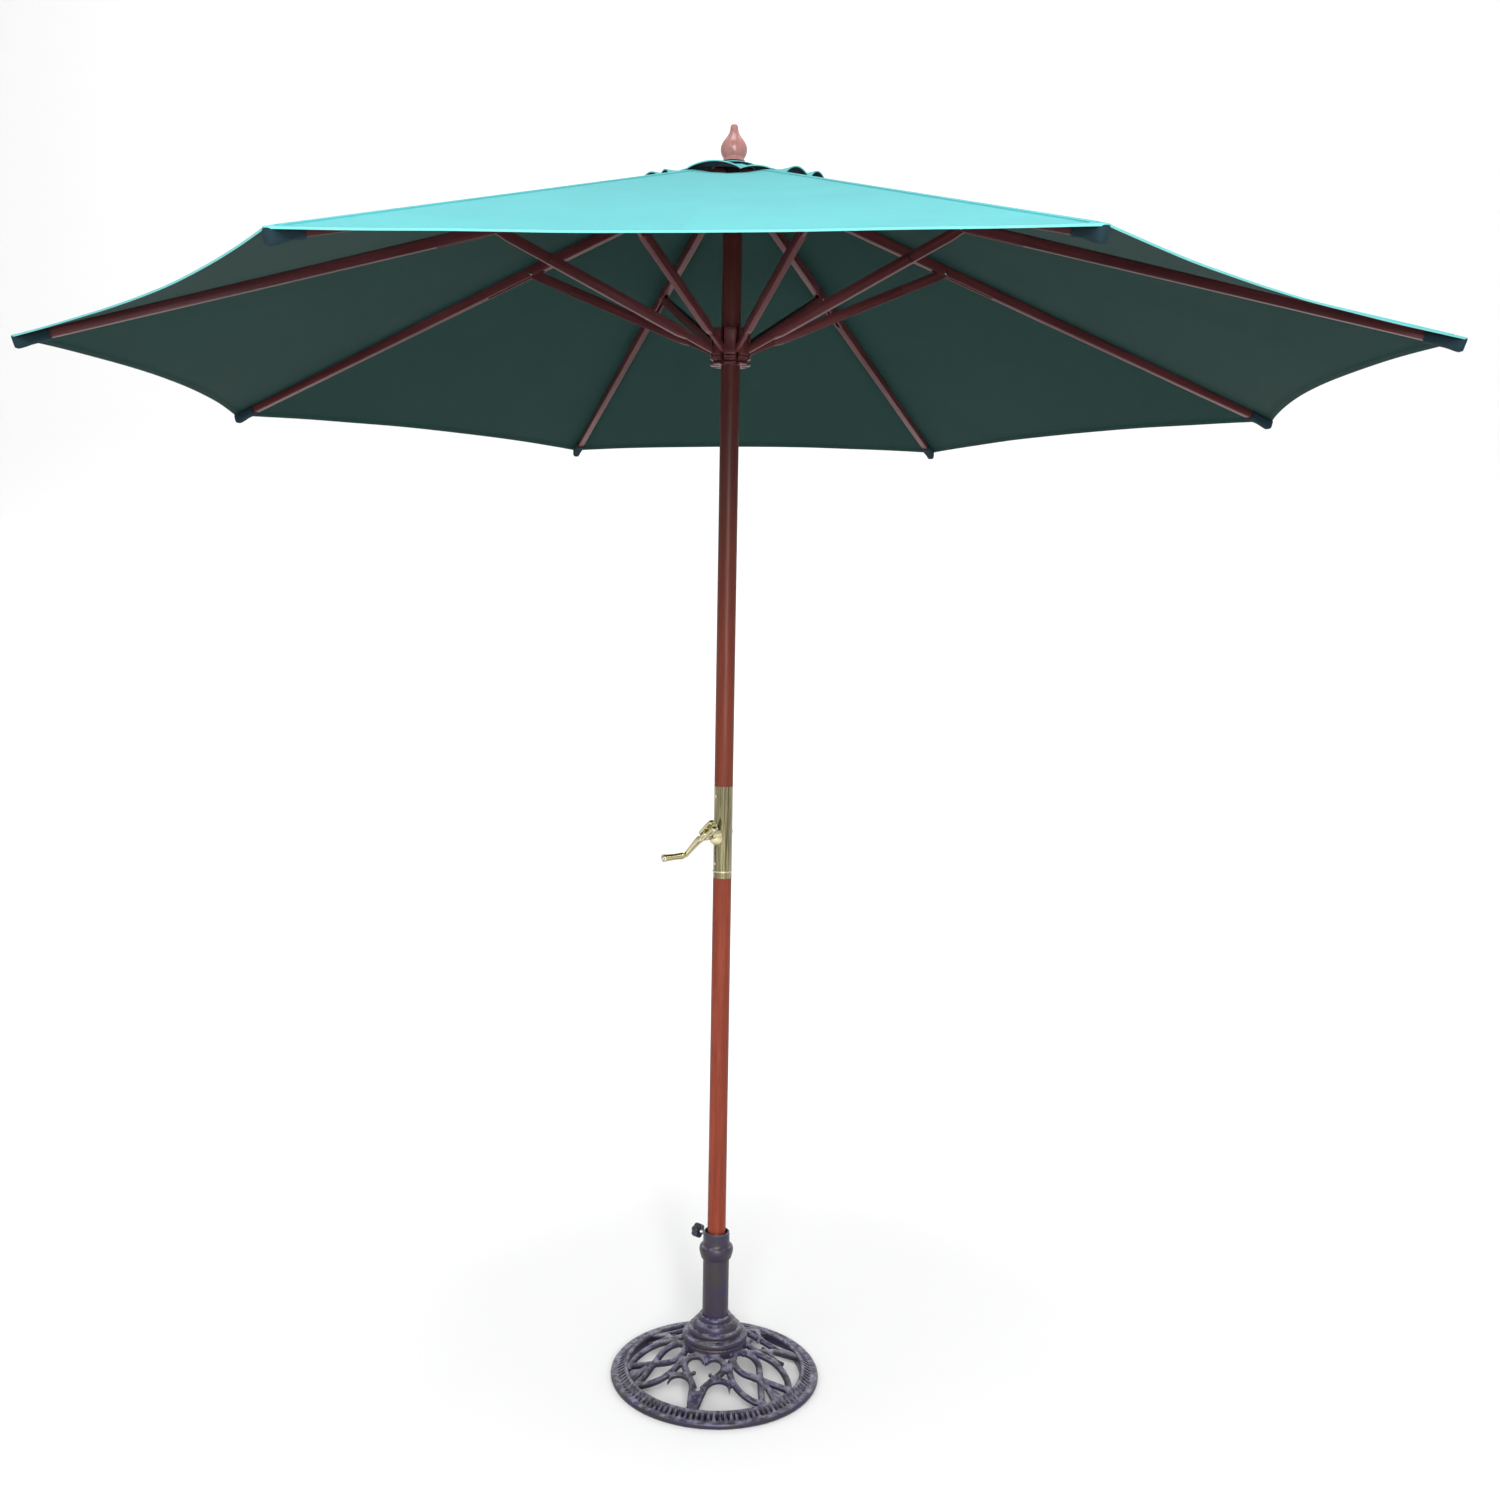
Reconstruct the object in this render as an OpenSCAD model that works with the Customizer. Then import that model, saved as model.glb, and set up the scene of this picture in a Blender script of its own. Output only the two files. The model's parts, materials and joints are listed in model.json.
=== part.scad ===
// Wooden market umbrella on a cast base: crank lift, eight ribs with struts,
// an eight-sided canopy with a vent flap, and a pole that stands in a clamped socket.
// Millimetres, +Z up, origin on the floor at the centre of the base, -Y is the front.

/* [Canopy frame] */
// Number of ribs
rib_count = 8; // [8]
// Distance from the pole axis to a rib tip when open
tip_r = 1300; // [1200:10:1400]
// Slope of a rib below the horizontal when open
rib_slope = 17.97; // [17:0.01:20]
// Slope of a rib below the horizontal when folded
fold_slope = 84; // [80:1:85]
// Width of a rib
rib_w = 14; // [13:1:16]
// Height of a rib at its inner end
rib_h = 22; // [20:1:24]
// Height of a rib at its tip
rib_tip_h = 15; // [12:1:18]
// Distance from a rib's hub pivot to its strut pivot
joint_x = 452; // [440:1:460]
// Width of a strut
strut_w = 12; // [11:1:13]
// Height of a strut
strut_h = 20; // [18:1:22]
// Thickness of the canopy cloth as modelled
cloth_t = 1.6; // [1:0.1:3]

/* [Pole] */
// Radius of the pole
pole_r = 19; // [18:0.5:20]
// Height of the rib pivots above the floor
hub_z = 2447; // [2400:1:2500]
// Height of the strut pivots on the runner
runner_z = 2114; // [2100:1:2130]
// Height of the crank shaft
crank_z = 1155; // [1145:1:1165]
// Direction of the crank shaft, counter-clockwise from +X
crank_azimuth = 225; // [180:5:270]
// Angle of the crank arm about its shaft, from straight down
crank_swing = 49; // [0:1:60]
// Height of the brass sleeve's lower end
sleeve_z0 = 1062; // [1050:1:1070]
// Height of the brass sleeve's upper end
sleeve_z1 = 1250; // [1240:1:1260]

/* [Base] */
// Outer radius of the base ring
base_r = 218; // [210:1:230]
// Height of the socket's rim
collar_z1 = 313; // [305:1:320]
// Direction of the clamp knob
knob_azimuth = 143; // [130:1:160]
// Height of the clamp screw
knob_z = 300; // [298:1:303]
// Direction of the first scroll motif
scroll_azimuth = -101; // [-120:1:-90]

/* [Hidden] */
$fn = 96;
// Angle between two ribs and the first rib's direction
rib_step = 360 / rib_count;
rib_phase = rib_step / 2;
// Running clearance on a pin's radius, and the clearance between moving faces
fit = 0.06;
gap = 0.35;
pin_r = 2.5;

// Rib hub: pivot circle, hub radius, half height, slot width and slot floor
hub_pivot_r = 36;
hub_r = 42;
hub_half = 16;
hub_slot_w = 9.6;
hub_slot_r = 26.5;
rib_tongue_w = 9;
rib_tongue_l = 20;
rib_length = (tip_r - hub_pivot_r) / cos(rib_slope) - 8;

// Strut joint: slot in the rib for the strut's tongue
joint_drop = 3;
tongue_w = 7;
slot_w = 7.7;
slot_in = 28;
slot_out = 120;
slot_roof = 7;
tongue_l = 108;

// Runner: pivot circle, outer radius, slot floor and ends
runner_pivot_r = 34;
runner_r = 40;
runner_slot_r = 23.5;
runner_z0 = 2086;
runner_split_z = 2103;
runner_z1 = 2156;
inner_tongue_l = 62;

// Strut joint in the open umbrella, then the strut's length and slope
joint_r = hub_pivot_r + joint_x * cos(rib_slope) - joint_drop * sin(rib_slope);
joint_z = hub_z - joint_x * sin(rib_slope) - joint_drop * cos(rib_slope);
strut_slope = atan2(joint_z - runner_z, joint_r - runner_pivot_r);
strut_l = norm([joint_r - runner_pivot_r, joint_z - runner_z]);

// Cloth: height of its ridge over the rib axis, vent radius, hem cut and flap radius
ridge_lift = rib_h / 2 / cos(rib_slope) + 1.8;
vent_r = 178;
hem_cut = 50;
flap_r = 198;
flap_in = 46;
flap_z = 2475;
half_step = rib_step / 2 - 0.05;

// Crank parts along the shaft, measured from the pole axis
spool_core_r = 8;
cord_r = 1.5;
winding_r = spool_core_r + cord_r;
housing_end = 36;
clevis_x = 49;
arm_l = 78;
grip_l = 54;

// Bore of the hollow upper pole, its stud, and the pulley near its top, at the back
pole_bore_r = 12.5;
pulley_azimuth = 90;
stud_r = 3;
pulley_x = 11;
pulley_z = 2398;
pulley_r = 11.5;
cord_out_x = pulley_x + pulley_r + cord_r;
cord_in_x = pulley_x - pulley_r - cord_r;

// Base: heights of the socket, hub plate and scroll plane
plate_z0 = 64;
plate_z1 = 84;
plate_r = 66;
tube_r = 27.2;
tube_bore = 24;
pole_foot_z = 96;
collar_z0 = 270;
ring_in = 180;
ring_round = 7;
rim_r = base_r - ring_round;
dome_slope = 25;
knob_in = 43;
bar_w = 9.2;
stem_w = 8.2;
bar_h = 10;

// ---------- helpers ----------

module tube(r_out, r_in, z0, z1) {
    translate([0, 0, z0]) difference() {
        cylinder(r = r_out, h = z1 - z0);
        translate([0, 0, -1]) cylinder(r = r_in, h = z1 - z0 + 2);
    }
}

// A pin or bore along Y, centred
module cross_rod(r, length) {
    rotate([90, 0, 0]) cylinder(r = r, h = length, center = true, $fn = 48);
}

// Flat bar along +X, its outline in the XZ plane and its width along Y
module side_plate(outline, width) {
    rotate([90, 0, 0]) linear_extrude(height = width, center = true) polygon(outline);
}

// Places a child at one rib's direction
module at_rib(i) {
    rotate([0, 0, rib_phase + rib_step * (i - 1)]) children();
}

// Moves a child from rib axes (pivot at 0, rib along +X) to the open umbrella
module on_rib() {
    translate([hub_pivot_r, 0, hub_z]) rotate([0, rib_slope, 0]) children();
}

// ---------- base ----------

// Curved bar of the scrollwork in its own plane: a part of a flat ring
module scroll_arc(x, y, r, from, sweep, height) {
    translate([x, y, 0]) rotate([0, 0, from])
        rotate_extrude(angle = sweep) translate([r - bar_w / 2, -height / 2])
            square([bar_w, height]);
}

// Straight bar of the scrollwork between two points of its plane
module scroll_bar(a, b, width, height) {
    run = b - a;
    translate([a[0], a[1], 0]) rotate([0, 0, atan2(run[1], run[0])])
        translate([-1, -width / 2, -height / 2]) cube([norm(run) + 2, width, height]);
}

// A shape and its mirror image across the motif's axis
module both_sides() {
    children();
    mirror([0, 1, 0]) children();
}

module scroll_knob(x, y, r) {
    translate([x, y, 0]) cylinder(r = r, h = bar_h + 1, center = true, $fn = 32);
}

// Heart near the hub on a forked stem with spurred arms, +X outwards along the dome
module heart_motif() {
    both_sides() {
        scroll_arc(31, 19.5, 21.5, 43, 205, bar_h);
        scroll_bar([45, 35], [85, 8], stem_w, bar_h - 0.6);
        scroll_bar([57, 26], [51, 18], 6, bar_h - 1);
        scroll_knob(50, 17, 4.6);
        scroll_arc(90.5, 42, 31, 137, 122, bar_h - 0.3);
        scroll_bar([81, 12.4], [142, 4.6], stem_w, bar_h - 1.2);
        scroll_bar([67.5, 62], [62.5, 69], 5, bar_h - 1.4);
        scroll_bar([67.5, 61], [80, 63], 5, bar_h - 1.4);
        scroll_knob(68, 61.5, 5);
    }
    scroll_bar([104, 0], [142, 0], 11, bar_h - 1.8);
}

// Two leaves that cross, each with a round inner side and a long outer side
module oval_motif() {
    both_sides() {
        scroll_arc(79.5, -5, 67.5, 32, 134, bar_h);
        scroll_arc(39, 5, 32, 160, 150, bar_h - 0.4);
        scroll_bar([57, -21.6], [140, 47.8], stem_w, bar_h - 0.8);
    }
    scroll_knob(102, 0, 5);
    linear_extrude(height = bar_h - 2, center = true)
        polygon([[102, -4], [142, -20], [142, 20], [102, 4]]);
}

module on_dome(direction) {
    rotate([0, 0, direction]) translate([56, 0, (plate_z0 + plate_z1) / 2 - 1])
        rotate([0, dome_slope, 0]) children();
}

module base_casting() {
    color([0.30, 0.27, 0.34]) {
        rotate_extrude($fn = 128) {
            polygon([[ring_in, 0], [ring_in, 19], [ring_in + 4, 23], [ring_in + 8, 23],
                [rim_r - 3, 10], [rim_r, ring_round], [rim_r, 0]]);
            translate([rim_r, ring_round]) circle(r = ring_round, $fn = 48);
        }
        difference() {
            translate([0, 0, plate_z0]) cylinder(r = plate_r, h = plate_z1 - plate_z0);
            translate([0, 0, plate_z0 - 1]) cylinder(r = 4.3, h = plate_z1 - plate_z0 + 2);
        }
        for (third = [0, 120, 240]) {
            on_dome(scroll_azimuth + third) heart_motif();
            on_dome(scroll_azimuth + 60 + third) oval_motif();
        }
    }
}

module bell_cover() {
    color([0.32, 0.29, 0.36]) rotate_extrude() polygon([
        [tube_r + 0.1, plate_z1], [66, plate_z1], [68, plate_z1 + 4], [66, plate_z1 + 14],
        [60, plate_z1 + 18], [54, plate_z1 + 19], [53, plate_z1 + 26], [48, plate_z1 + 36],
        [42, plate_z1 + 42], [36, plate_z1 + 44], [34, plate_z1 + 51], [tube_r + 0.1, plate_z1 + 52]]);
}

module base_column() {
    color([0.27, 0.25, 0.27]) tube(tube_r, tube_bore, plate_z1, collar_z0);
}

// Cast rim of the socket, with its bead and the threaded hole of the clamp screw
module socket_collar() {
    color([0.31, 0.28, 0.34]) difference() {
        rotate_extrude() union() {
            translate([tube_bore, collar_z0]) square([3.4, collar_z1 - collar_z0]);
            translate([tube_r + 0.1, collar_z0 - 12]) square([4, 30]);
            intersection() {
                translate([27.5, collar_z0 + 6]) circle(r = 8, $fn = 48);
                translate([tube_r + 0.1, collar_z0 - 7]) square([20, 30]);
            }
        }
        rotate([0, 0, knob_azimuth]) translate([30, 0, knob_z]) rotate([0, 90, 0])
            cylinder(r = 4 + fit, h = 24, center = true, $fn = 48);
    }
}

// Plastic rings that centre the pole in the column
module socket_bush() {
    color([0.08, 0.08, 0.08]) tube(tube_bore - 0.05, pole_r + 0.1, 110, 240);
}

module column_plug() {
    color([0.25, 0.25, 0.26]) tube(tube_bore - 0.1, 4.3, plate_z1, pole_foot_z - 0.2);
}

module column_bolt() {
    color([0.6, 0.6, 0.62]) {
        translate([0, 0, 50]) cylinder(r = 4.2, h = 40, $fn = 32);
        translate([0, 0, 52]) cylinder(r = 16, h = 3);
        translate([0, 0, 55]) cylinder(r = 7.5, h = plate_z0 - 55, $fn = 6);
    }
}

// ---------- clamp ----------

module at_clamp() {
    rotate([0, 0, knob_azimuth]) translate([0, 0, knob_z]) rotate([0, 90, 0]) children();
}

module clamp_screw() {
    color([0.75, 0.75, 0.76]) at_clamp() translate([0, 0, pole_r + 0.5])
        cylinder(r = 4, h = knob_in + 9 - pole_r, $fn = 48);
}

// Six-lobed grip knob
module clamp_knob() {
    color([0.06, 0.06, 0.08]) at_clamp() difference() {
        union() {
            translate([0, 0, knob_in]) cylinder(r = 10.5, h = 17);
            for (i = [0:5]) rotate([0, 0, i * 60]) translate([10.5, 0, knob_in + 2])
                cylinder(r = 5, h = 13, $fn = 32);
        }
        translate([0, 0, knob_in - 1]) cylinder(r = 4, h = 10.5, $fn = 48);
    }
}

// ---------- pole ----------

module lower_pole() {
    color([0.55, 0.27, 0.20]) {
        translate([0, 0, pole_foot_z]) cylinder(r = pole_r, h = sleeve_z0 - pole_foot_z);
        translate([0, 0, sleeve_z0]) cylinder(r = pole_r - 1.6, h = 52);
    }
}

// Moves a child to the pulley's axis, which lies along the child's Y
module at_pulley() {
    rotate([0, 0, pulley_azimuth]) translate([pulley_x, 0, pulley_z]) children();
}

// Hollow upper pole with the pulley's slot and the stud's bore
module upper_pole() {
    top_z = hub_z + 14;
    color([0.47, 0.23, 0.18]) difference() {
        union() {
            translate([0, 0, sleeve_z1]) cylinder(r = pole_r, h = top_z - sleeve_z1);
            translate([0, 0, sleeve_z1 - 40]) cylinder(r = pole_r - 1.6, h = 41);
        }
        translate([0, 0, sleeve_z1 - 41]) cylinder(r = pole_bore_r, h = top_z - sleeve_z1 - 9);
        at_pulley() {
            translate([-5 - pulley_x, -4, -18]) cube([40, 8, 36]);
            cross_rod(2.05, 60);
        }
        translate([0, 0, hub_z + 5]) cylinder(r = stud_r + 0.05, h = 12, $fn = 32);
    }
}

// Brass tube that joins the two poles, bored for the crank shaft and the screws
module brass_sleeve() {
    color([0.76, 0.70, 0.46]) difference() {
        tube(pole_r + 0.5, pole_r - 1.5, sleeve_z0, sleeve_z1);
        translate([0, 0, crank_z]) rotate([0, 0, crank_azimuth]) rotate([0, 90, 0])
            cylinder(r = 6.5, h = 80, center = true, $fn = 48);
        for (z = [sleeve_z0 + 30, sleeve_z1 - 20]) translate([0, 0, z]) rotate([0, 90, 45])
            cylinder(r = 1.8, h = 80, center = true, $fn = 32);
    }
}

module sleeve_ring() {
    color([0.86, 0.82, 0.62]) translate([0, 0, sleeve_z0 + 12]) rotate_extrude()
        translate([pole_r + 0.55, 0]) square([1.2, 3]);
}

module sleeve_screws() {
    color([0.8, 0.75, 0.5]) for (z = [sleeve_z0 + 30, sleeve_z1 - 20])
        for (side = [0, 180]) rotate([0, 0, side + 45]) translate([pole_r - 1.4, 0, z])
            rotate([0, 90, 0]) {
                cylinder(r = 1.7, h = 2.4, $fn = 32);
                translate([0, 0, 2.2]) cylinder(r = 3, h = 1, $fn = 32);
            }
}

// ---------- crank ----------

// Moves a child from shaft axes (shaft along +X, arm down) to its place
module at_crank() {
    translate([0, 0, crank_z]) rotate([0, 0, crank_azimuth]) children();
}

module along_x(r, from, to) {
    translate([from, 0, 0]) rotate([0, 90, 0]) cylinder(r = r, h = to - from, $fn = 64);
}

// Boss on the sleeve that carries the shaft, open in front
module crank_housing() {
    color([0.78, 0.72, 0.48]) at_crank() difference() {
        union() {
            along_x(13, 12, housing_end);
            translate([0, 0, -4]) along_x(11, 12, housing_end - 4);
        }
        translate([0, 0, -40]) cylinder(r = pole_r + 0.5, h = 80);
        along_x(9, pole_r + 3, housing_end + 1);
        along_x(6.5, 0, housing_end + 1);
    }
}

module shaft_bushes() {
    color([0.85, 0.85, 0.8]) at_crank() {
        difference() {
            along_x(6.45, pole_r - 1, pole_r + 5);
            along_x(4 + fit, 0, 60);
        }
        difference() {
            along_x(6.45, -pole_r - 1.5, -pole_r + 3);
            along_x(4 + fit, -60, 0);
        }
    }
}

module crank_shaft() {
    color([0.7, 0.7, 0.7]) at_crank() {
        along_x(4, -pole_r - 2, 42);
        along_x(5.5, -pole_r - 4.5, -pole_r - 2);
    }
}

module cord_spool() {
    color([0.2, 0.2, 0.2]) at_crank() difference() {
        union() {
            along_x(spool_core_r, -12, 12);
            along_x(12.2, -12, -10);
            along_x(12.2, 10, 12);
        }
        along_x(4.03, -20, 20);
    }
}

// Fork on the shaft's end, with the bore of the folding pin
module crank_clevis() {
    color([0.80, 0.75, 0.52]) at_crank() rotate([-crank_swing, 0, 0]) difference() {
        union() {
            along_x(8, housing_end + 1, 44);
            translate([40.5, -11, -10]) cube([16, 22, 46]);
        }
        translate([43.5, -4.6, -20]) cube([20, 9.2, 40]);
        translate([clevis_x, 0, 0]) cross_rod(2 + fit, 40);
        for (z = [13, 30]) translate([clevis_x + 1, 0, z]) cross_rod(2.4, 40);
        along_x(4.03, 0, 42);
    }
}

module clevis_pin() {
    color([0.75, 0.77, 0.8]) at_crank() rotate([-crank_swing, 0, 0])
        translate([clevis_x, 0, 0]) {
            cross_rod(2, 23);
            for (side = [-1, 1]) translate([0, side * 11.9, 0]) cross_rod(3.2, 1.6);
        }
}

// Tapered handle arm that folds about the clevis pin
module crank_arm() {
    color([0.82, 0.77, 0.55]) at_crank() rotate([-crank_swing, 0, 0])
        translate([clevis_x, 0, 0]) difference() {
            union() {
                cross_rod(5, 8.4);
                side_plate([[-5, 0], [5, 0], [6, -14], [5.5, 4 - arm_l], [-1, 4 - arm_l],
                            [-4.4, -14]], 8.4);
                side_plate([[-4.4, -16], [6, -16], [5.5, 4 - arm_l], [-1, 4 - arm_l]], 12);
                translate([-1, 0, -arm_l]) along_x(6, 0, 7);
            }
            cross_rod(2 + fit, 30);
            translate([0, 0, -arm_l]) along_x(2.5, -20, 30);
        }
}

module grip_rivet() {
    color([0.78, 0.78, 0.78]) at_crank() rotate([-crank_swing, 0, 0])
        translate([clevis_x, 0, -arm_l]) {
            along_x(2.5, -1, grip_l + 8);
            along_x(4.5, grip_l + 7, grip_l + 9);
        }
}

module crank_grip() {
    color([0.84, 0.80, 0.60]) at_crank() rotate([-crank_swing, 0, 0])
        translate([clevis_x, 0, -arm_l]) rotate([0, 90, 0]) rotate_extrude()
            polygon([[2.5 + fit, 6.4], [6, 6.4], [7, 10], [6.4, grip_l / 2], [7.4, grip_l],
                     [6.6, grip_l + 6.6], [2.5 + fit, grip_l + 6.6]]);
}

// ---------- lift cord ----------

module pulley_pin() {
    color([0.7, 0.7, 0.7]) at_pulley() cross_rod(2, 29);
}

module cord_pulley() {
    color([0.15, 0.15, 0.15]) at_pulley() rotate([90, 0, 0])
        rotate_extrude() polygon([[2 + fit, -3.4], [13.2, -3.4], [13.2, -2.6], [pulley_r, -1.4],
                                  [pulley_r, 1.4], [13.2, 2.6], [13.2, 3.4], [2 + fit, 3.4]]);
}

// Cord from the spool up the hollow pole, over the pulley and down to the runner
module lift_cord() {
    inward = [cos(pulley_azimuth), sin(pulley_azimuth)] * cord_in_x;
    spool_x = -winding_r * sin(crank_azimuth - 180);
    spool_y = winding_r * cos(crank_azimuth - 180);
    run = [inward[0] - spool_x, inward[1] - spool_y, pulley_z - crank_z];
    color([0.9, 0.9, 0.86]) {
        translate([spool_x, spool_y, crank_z])
            rotate([0, acos(run[2] / norm(run)), atan2(run[1], run[0])])
                cylinder(r = cord_r, h = norm(run), $fn = 24);
        at_pulley() rotate([90, 0, 0])
            rotate_extrude(angle = 180) translate([pulley_r + cord_r, 0])
                circle(r = cord_r - 0.1, $fn = 24);
        rotate([0, 0, pulley_azimuth]) translate([cord_out_x, 0, runner_z1 + 0.4])
            cylinder(r = cord_r, h = pulley_z - runner_z1 - 0.4, $fn = 24);
    }
}

// ---------- top of the pole ----------

module rib_hub() {
    color([0.30, 0.15, 0.14]) difference() {
        translate([0, 0, hub_z - hub_half]) cylinder(r = hub_r, h = 2 * hub_half);
        translate([0, 0, hub_z - hub_half - 1])
            cylinder(r = pole_r + 0.05, h = 2 * hub_half + 2);
        for (i = [1:rib_count]) at_rib(i) {
            translate([hub_slot_r, -hub_slot_w / 2, hub_z - hub_half - 1])
                cube([30, hub_slot_w, 2 * hub_half + 2]);
            translate([hub_pivot_r, 0, hub_z]) cross_rod(pin_r, 19);
        }
    }
}

module hub_pins() {
    color([0.75, 0.68, 0.45]) for (i = [1:rib_count]) at_rib(i)
        translate([hub_pivot_r, 0, hub_z]) cross_rod(pin_r, 18);
}

module crown_washer() {
    color([0.33, 0.17, 0.15]) difference() {
        translate([0, 0, hub_z + hub_half + 0.1]) cylinder(r = 21, h = flap_z - hub_z - hub_half);
        translate([0, 0, hub_z]) cylinder(r = stud_r + 0.05, h = 60, $fn = 32);
    }
}

module finial_stud() {
    color([0.7, 0.7, 0.7]) translate([0, 0, hub_z + 6]) cylinder(r = stud_r, h = 41, $fn = 32);
}

// Turned onion-shaped finial
module finial() {
    z = flap_z + 2;
    color([0.50, 0.26, 0.24]) difference() {
        rotate_extrude() polygon([[0, z], [21.5, z], [22, z + 3], [20, z + 6], [23, z + 10],
            [25.8, z + 18], [26, z + 26], [23.6, z + 34], [18, z + 44], [12.6, z + 51],
            [9.4, z + 57], [8.2, z + 62], [7.6, z + 68], [4.7, z + 71], [0, z + 72]]);
        translate([0, 0, z - 1]) cylinder(r = stud_r + 0.05, h = 23, $fn = 32);
    }
}

// Stiffened centre of the vent flap, held under the finial
module vent_crown() {
    color([0.30, 0.72, 0.70]) rotate_extrude() polygon([[3.1, flap_z + 0.2], [21, flap_z + 0.2],
        [44, flap_z - 6.4], [44, flap_z - 8], [21.2, flap_z + 0.1], [3.1, flap_z + 0.1]]);
}

// ---------- runner ----------

module strut_slots(z0, z1) {
    for (i = [1:rib_count]) at_rib(i)
        translate([runner_slot_r, -tongue_w / 2 - 0.5, z0]) cube([30, tongue_w + 1, z1 - z0]);
}

module runner() {
    color([0.33, 0.16, 0.15]) difference() {
        tube(runner_r, pole_r + 0.4, runner_split_z + 0.2, runner_z1);
        strut_slots(runner_split_z - 5, runner_z1 + 5);
    }
}

// Turned collar under the runner: a groove and a bottom flange
module runner_collar() {
    color([0.30, 0.15, 0.14]) difference() {
        rotate_extrude() polygon([[pole_r + 0.4, runner_z0], [38, runner_z0],
            [runner_r, runner_z0 + 3], [38, runner_z0 + 6], [32, runner_z0 + 9],
            [33, runner_z0 + 12], [runner_r, runner_z0 + 15], [runner_r, runner_split_z],
            [pole_r + 0.4, runner_split_z]]);
        strut_slots(runner_z0 - 5, runner_split_z + 5);
    }
}

// ---------- ribs, struts and cloth ----------

module rib(i) {
    color([0.29, 0.15, 0.15]) at_rib(i) on_rib() difference() {
        union() {
            cross_rod(8, rib_tongue_w);
            translate([0, -rib_tongue_w / 2, -8]) cube([rib_tongue_l + 4, rib_tongue_w, 16]);
            side_plate([[rib_tongue_l, -rib_h / 2], [rib_length, rib_h / 2 - rib_tip_h],
                        [rib_length, rib_h / 2], [rib_tongue_l, rib_h / 2]], rib_w);
        }
        cross_rod(pin_r + fit, 30);
        translate([joint_x - slot_in, -slot_w / 2, -30])
            cube([slot_in + slot_out, slot_w, 30 + slot_roof]);
        translate([joint_x, 0, -joint_drop]) cross_rod(pin_r + fit, 30);
    }
}

// Wooden strut with its rib pin, pivot at 0 and inner end at strut_l along +X
module strut(i) {
    color([0.31, 0.16, 0.15]) at_rib(i) translate([joint_r, 0, joint_z])
        rotate([0, 180 - strut_slope, 0]) difference() {
            union() {
                cross_rod(8, tongue_w);
                side_plate([[0, -8], [24, -strut_h / 2], [tongue_l + 2, -strut_h / 2],
                            [tongue_l + 2, strut_h / 2], [24, strut_h / 2], [0, 8]], tongue_w);
                side_plate([[tongue_l, -strut_h / 2], [strut_l - inner_tongue_l - 20, -strut_h / 2],
                            [strut_l - inner_tongue_l, -7], [strut_l - inner_tongue_l, 7],
                            [strut_l - inner_tongue_l - 20, strut_h / 2],
                            [tongue_l, strut_h / 2]], strut_w);
                translate([strut_l - inner_tongue_l - 2, -tongue_w / 2, -6.6])
                    cube([inner_tongue_l + 2, tongue_w, 13.2]);
                translate([strut_l, 0, 0]) cross_rod(6.6, tongue_w);
                cross_rod(pin_r, rib_w - 0.6);
            }
            translate([strut_l, 0, 0]) cross_rod(pin_r, 20);
        }
}

// Height of the cloth at a distance from the axis, on a rib or on a panel's middle
function ridge_z(r) = hub_z + ridge_lift - tan(rib_slope) * (r - hub_pivot_r);
function middle_z(r) = ridge_z(r / cos(rib_step / 2));

function flap_ridge_z(r) = flap_z - 2 - (flap_z - 2 - ridge_z(flap_r) - 6) * (r - 21) / (flap_r - 21);

// Cloth wedge over one rib: a ridge and two half panels, thick in Z
module wedge(r_in, r_out, mid_in, mid_out, z_in, z_out, zm_in, zm_out) {
    c = cos(half_step);
    s = sin(half_step);
    top = [[r_in, 0, z_in], [r_out, 0, z_out],
           [mid_out * c, mid_out * s, zm_out], [mid_in * c, mid_in * s, zm_in],
           [mid_out * c, -mid_out * s, zm_out], [mid_in * c, -mid_in * s, zm_in]];
    points = concat(top, [for (p = top) p - [0, 0, cloth_t]]);
    polyhedron(points = points, faces = [
        [0, 3, 2], [0, 2, 1], [0, 1, 4], [0, 4, 5],
        [6, 8, 9], [6, 7, 8], [6, 10, 7], [6, 11, 10],
        [1, 2, 8], [1, 8, 7], [2, 3, 9], [2, 9, 8], [3, 0, 6], [3, 6, 9],
        [4, 1, 7], [4, 7, 10], [5, 4, 10], [5, 10, 11], [0, 5, 11], [0, 11, 6]]);
}

module canopy(i) {
    c = cos(rib_step / 2);
    mid_out = tip_r * c - hem_cut;
    flap_mid = flap_r * c;
    color([0.36, 0.84, 0.83]) at_rib(i) {
        wedge(vent_r, tip_r, vent_r * c, mid_out, ridge_z(vent_r) + cloth_t,
              ridge_z(tip_r) + cloth_t, middle_z(vent_r * c) + cloth_t, middle_z(mid_out) + cloth_t);
        wedge(flap_in, flap_r, flap_in * c, flap_mid, flap_ridge_z(flap_in), flap_ridge_z(flap_r),
              flap_ridge_z(flap_in), flap_ridge_z(flap_r) + 22);
    }
}

// ---------- nodes ----------

base_casting();
bell_cover();
base_column();
socket_collar();
socket_bush();
column_plug();
column_bolt();
clamp_knob();
clamp_screw();
lower_pole();
upper_pole();
brass_sleeve();
sleeve_ring();
sleeve_screws();
crank_housing();
shaft_bushes();
crank_shaft();
cord_spool();
crank_clevis();
clevis_pin();
crank_arm();
grip_rivet();
crank_grip();
pulley_pin();
cord_pulley();
lift_cord();
rib_hub();
hub_pins();
crown_washer();
finial();
finial_stud();
vent_crown();
runner();
runner_collar();
for (i = [1:rib_count]) {
    rib(i);
    strut(i);
    canopy(i);
}
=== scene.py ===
"""Wooden market umbrella: the looks of every piece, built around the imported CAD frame."""
import json
import math

import bmesh
import bpy
import numpy as np
from mathutils import Matrix, Vector, noise


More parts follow.
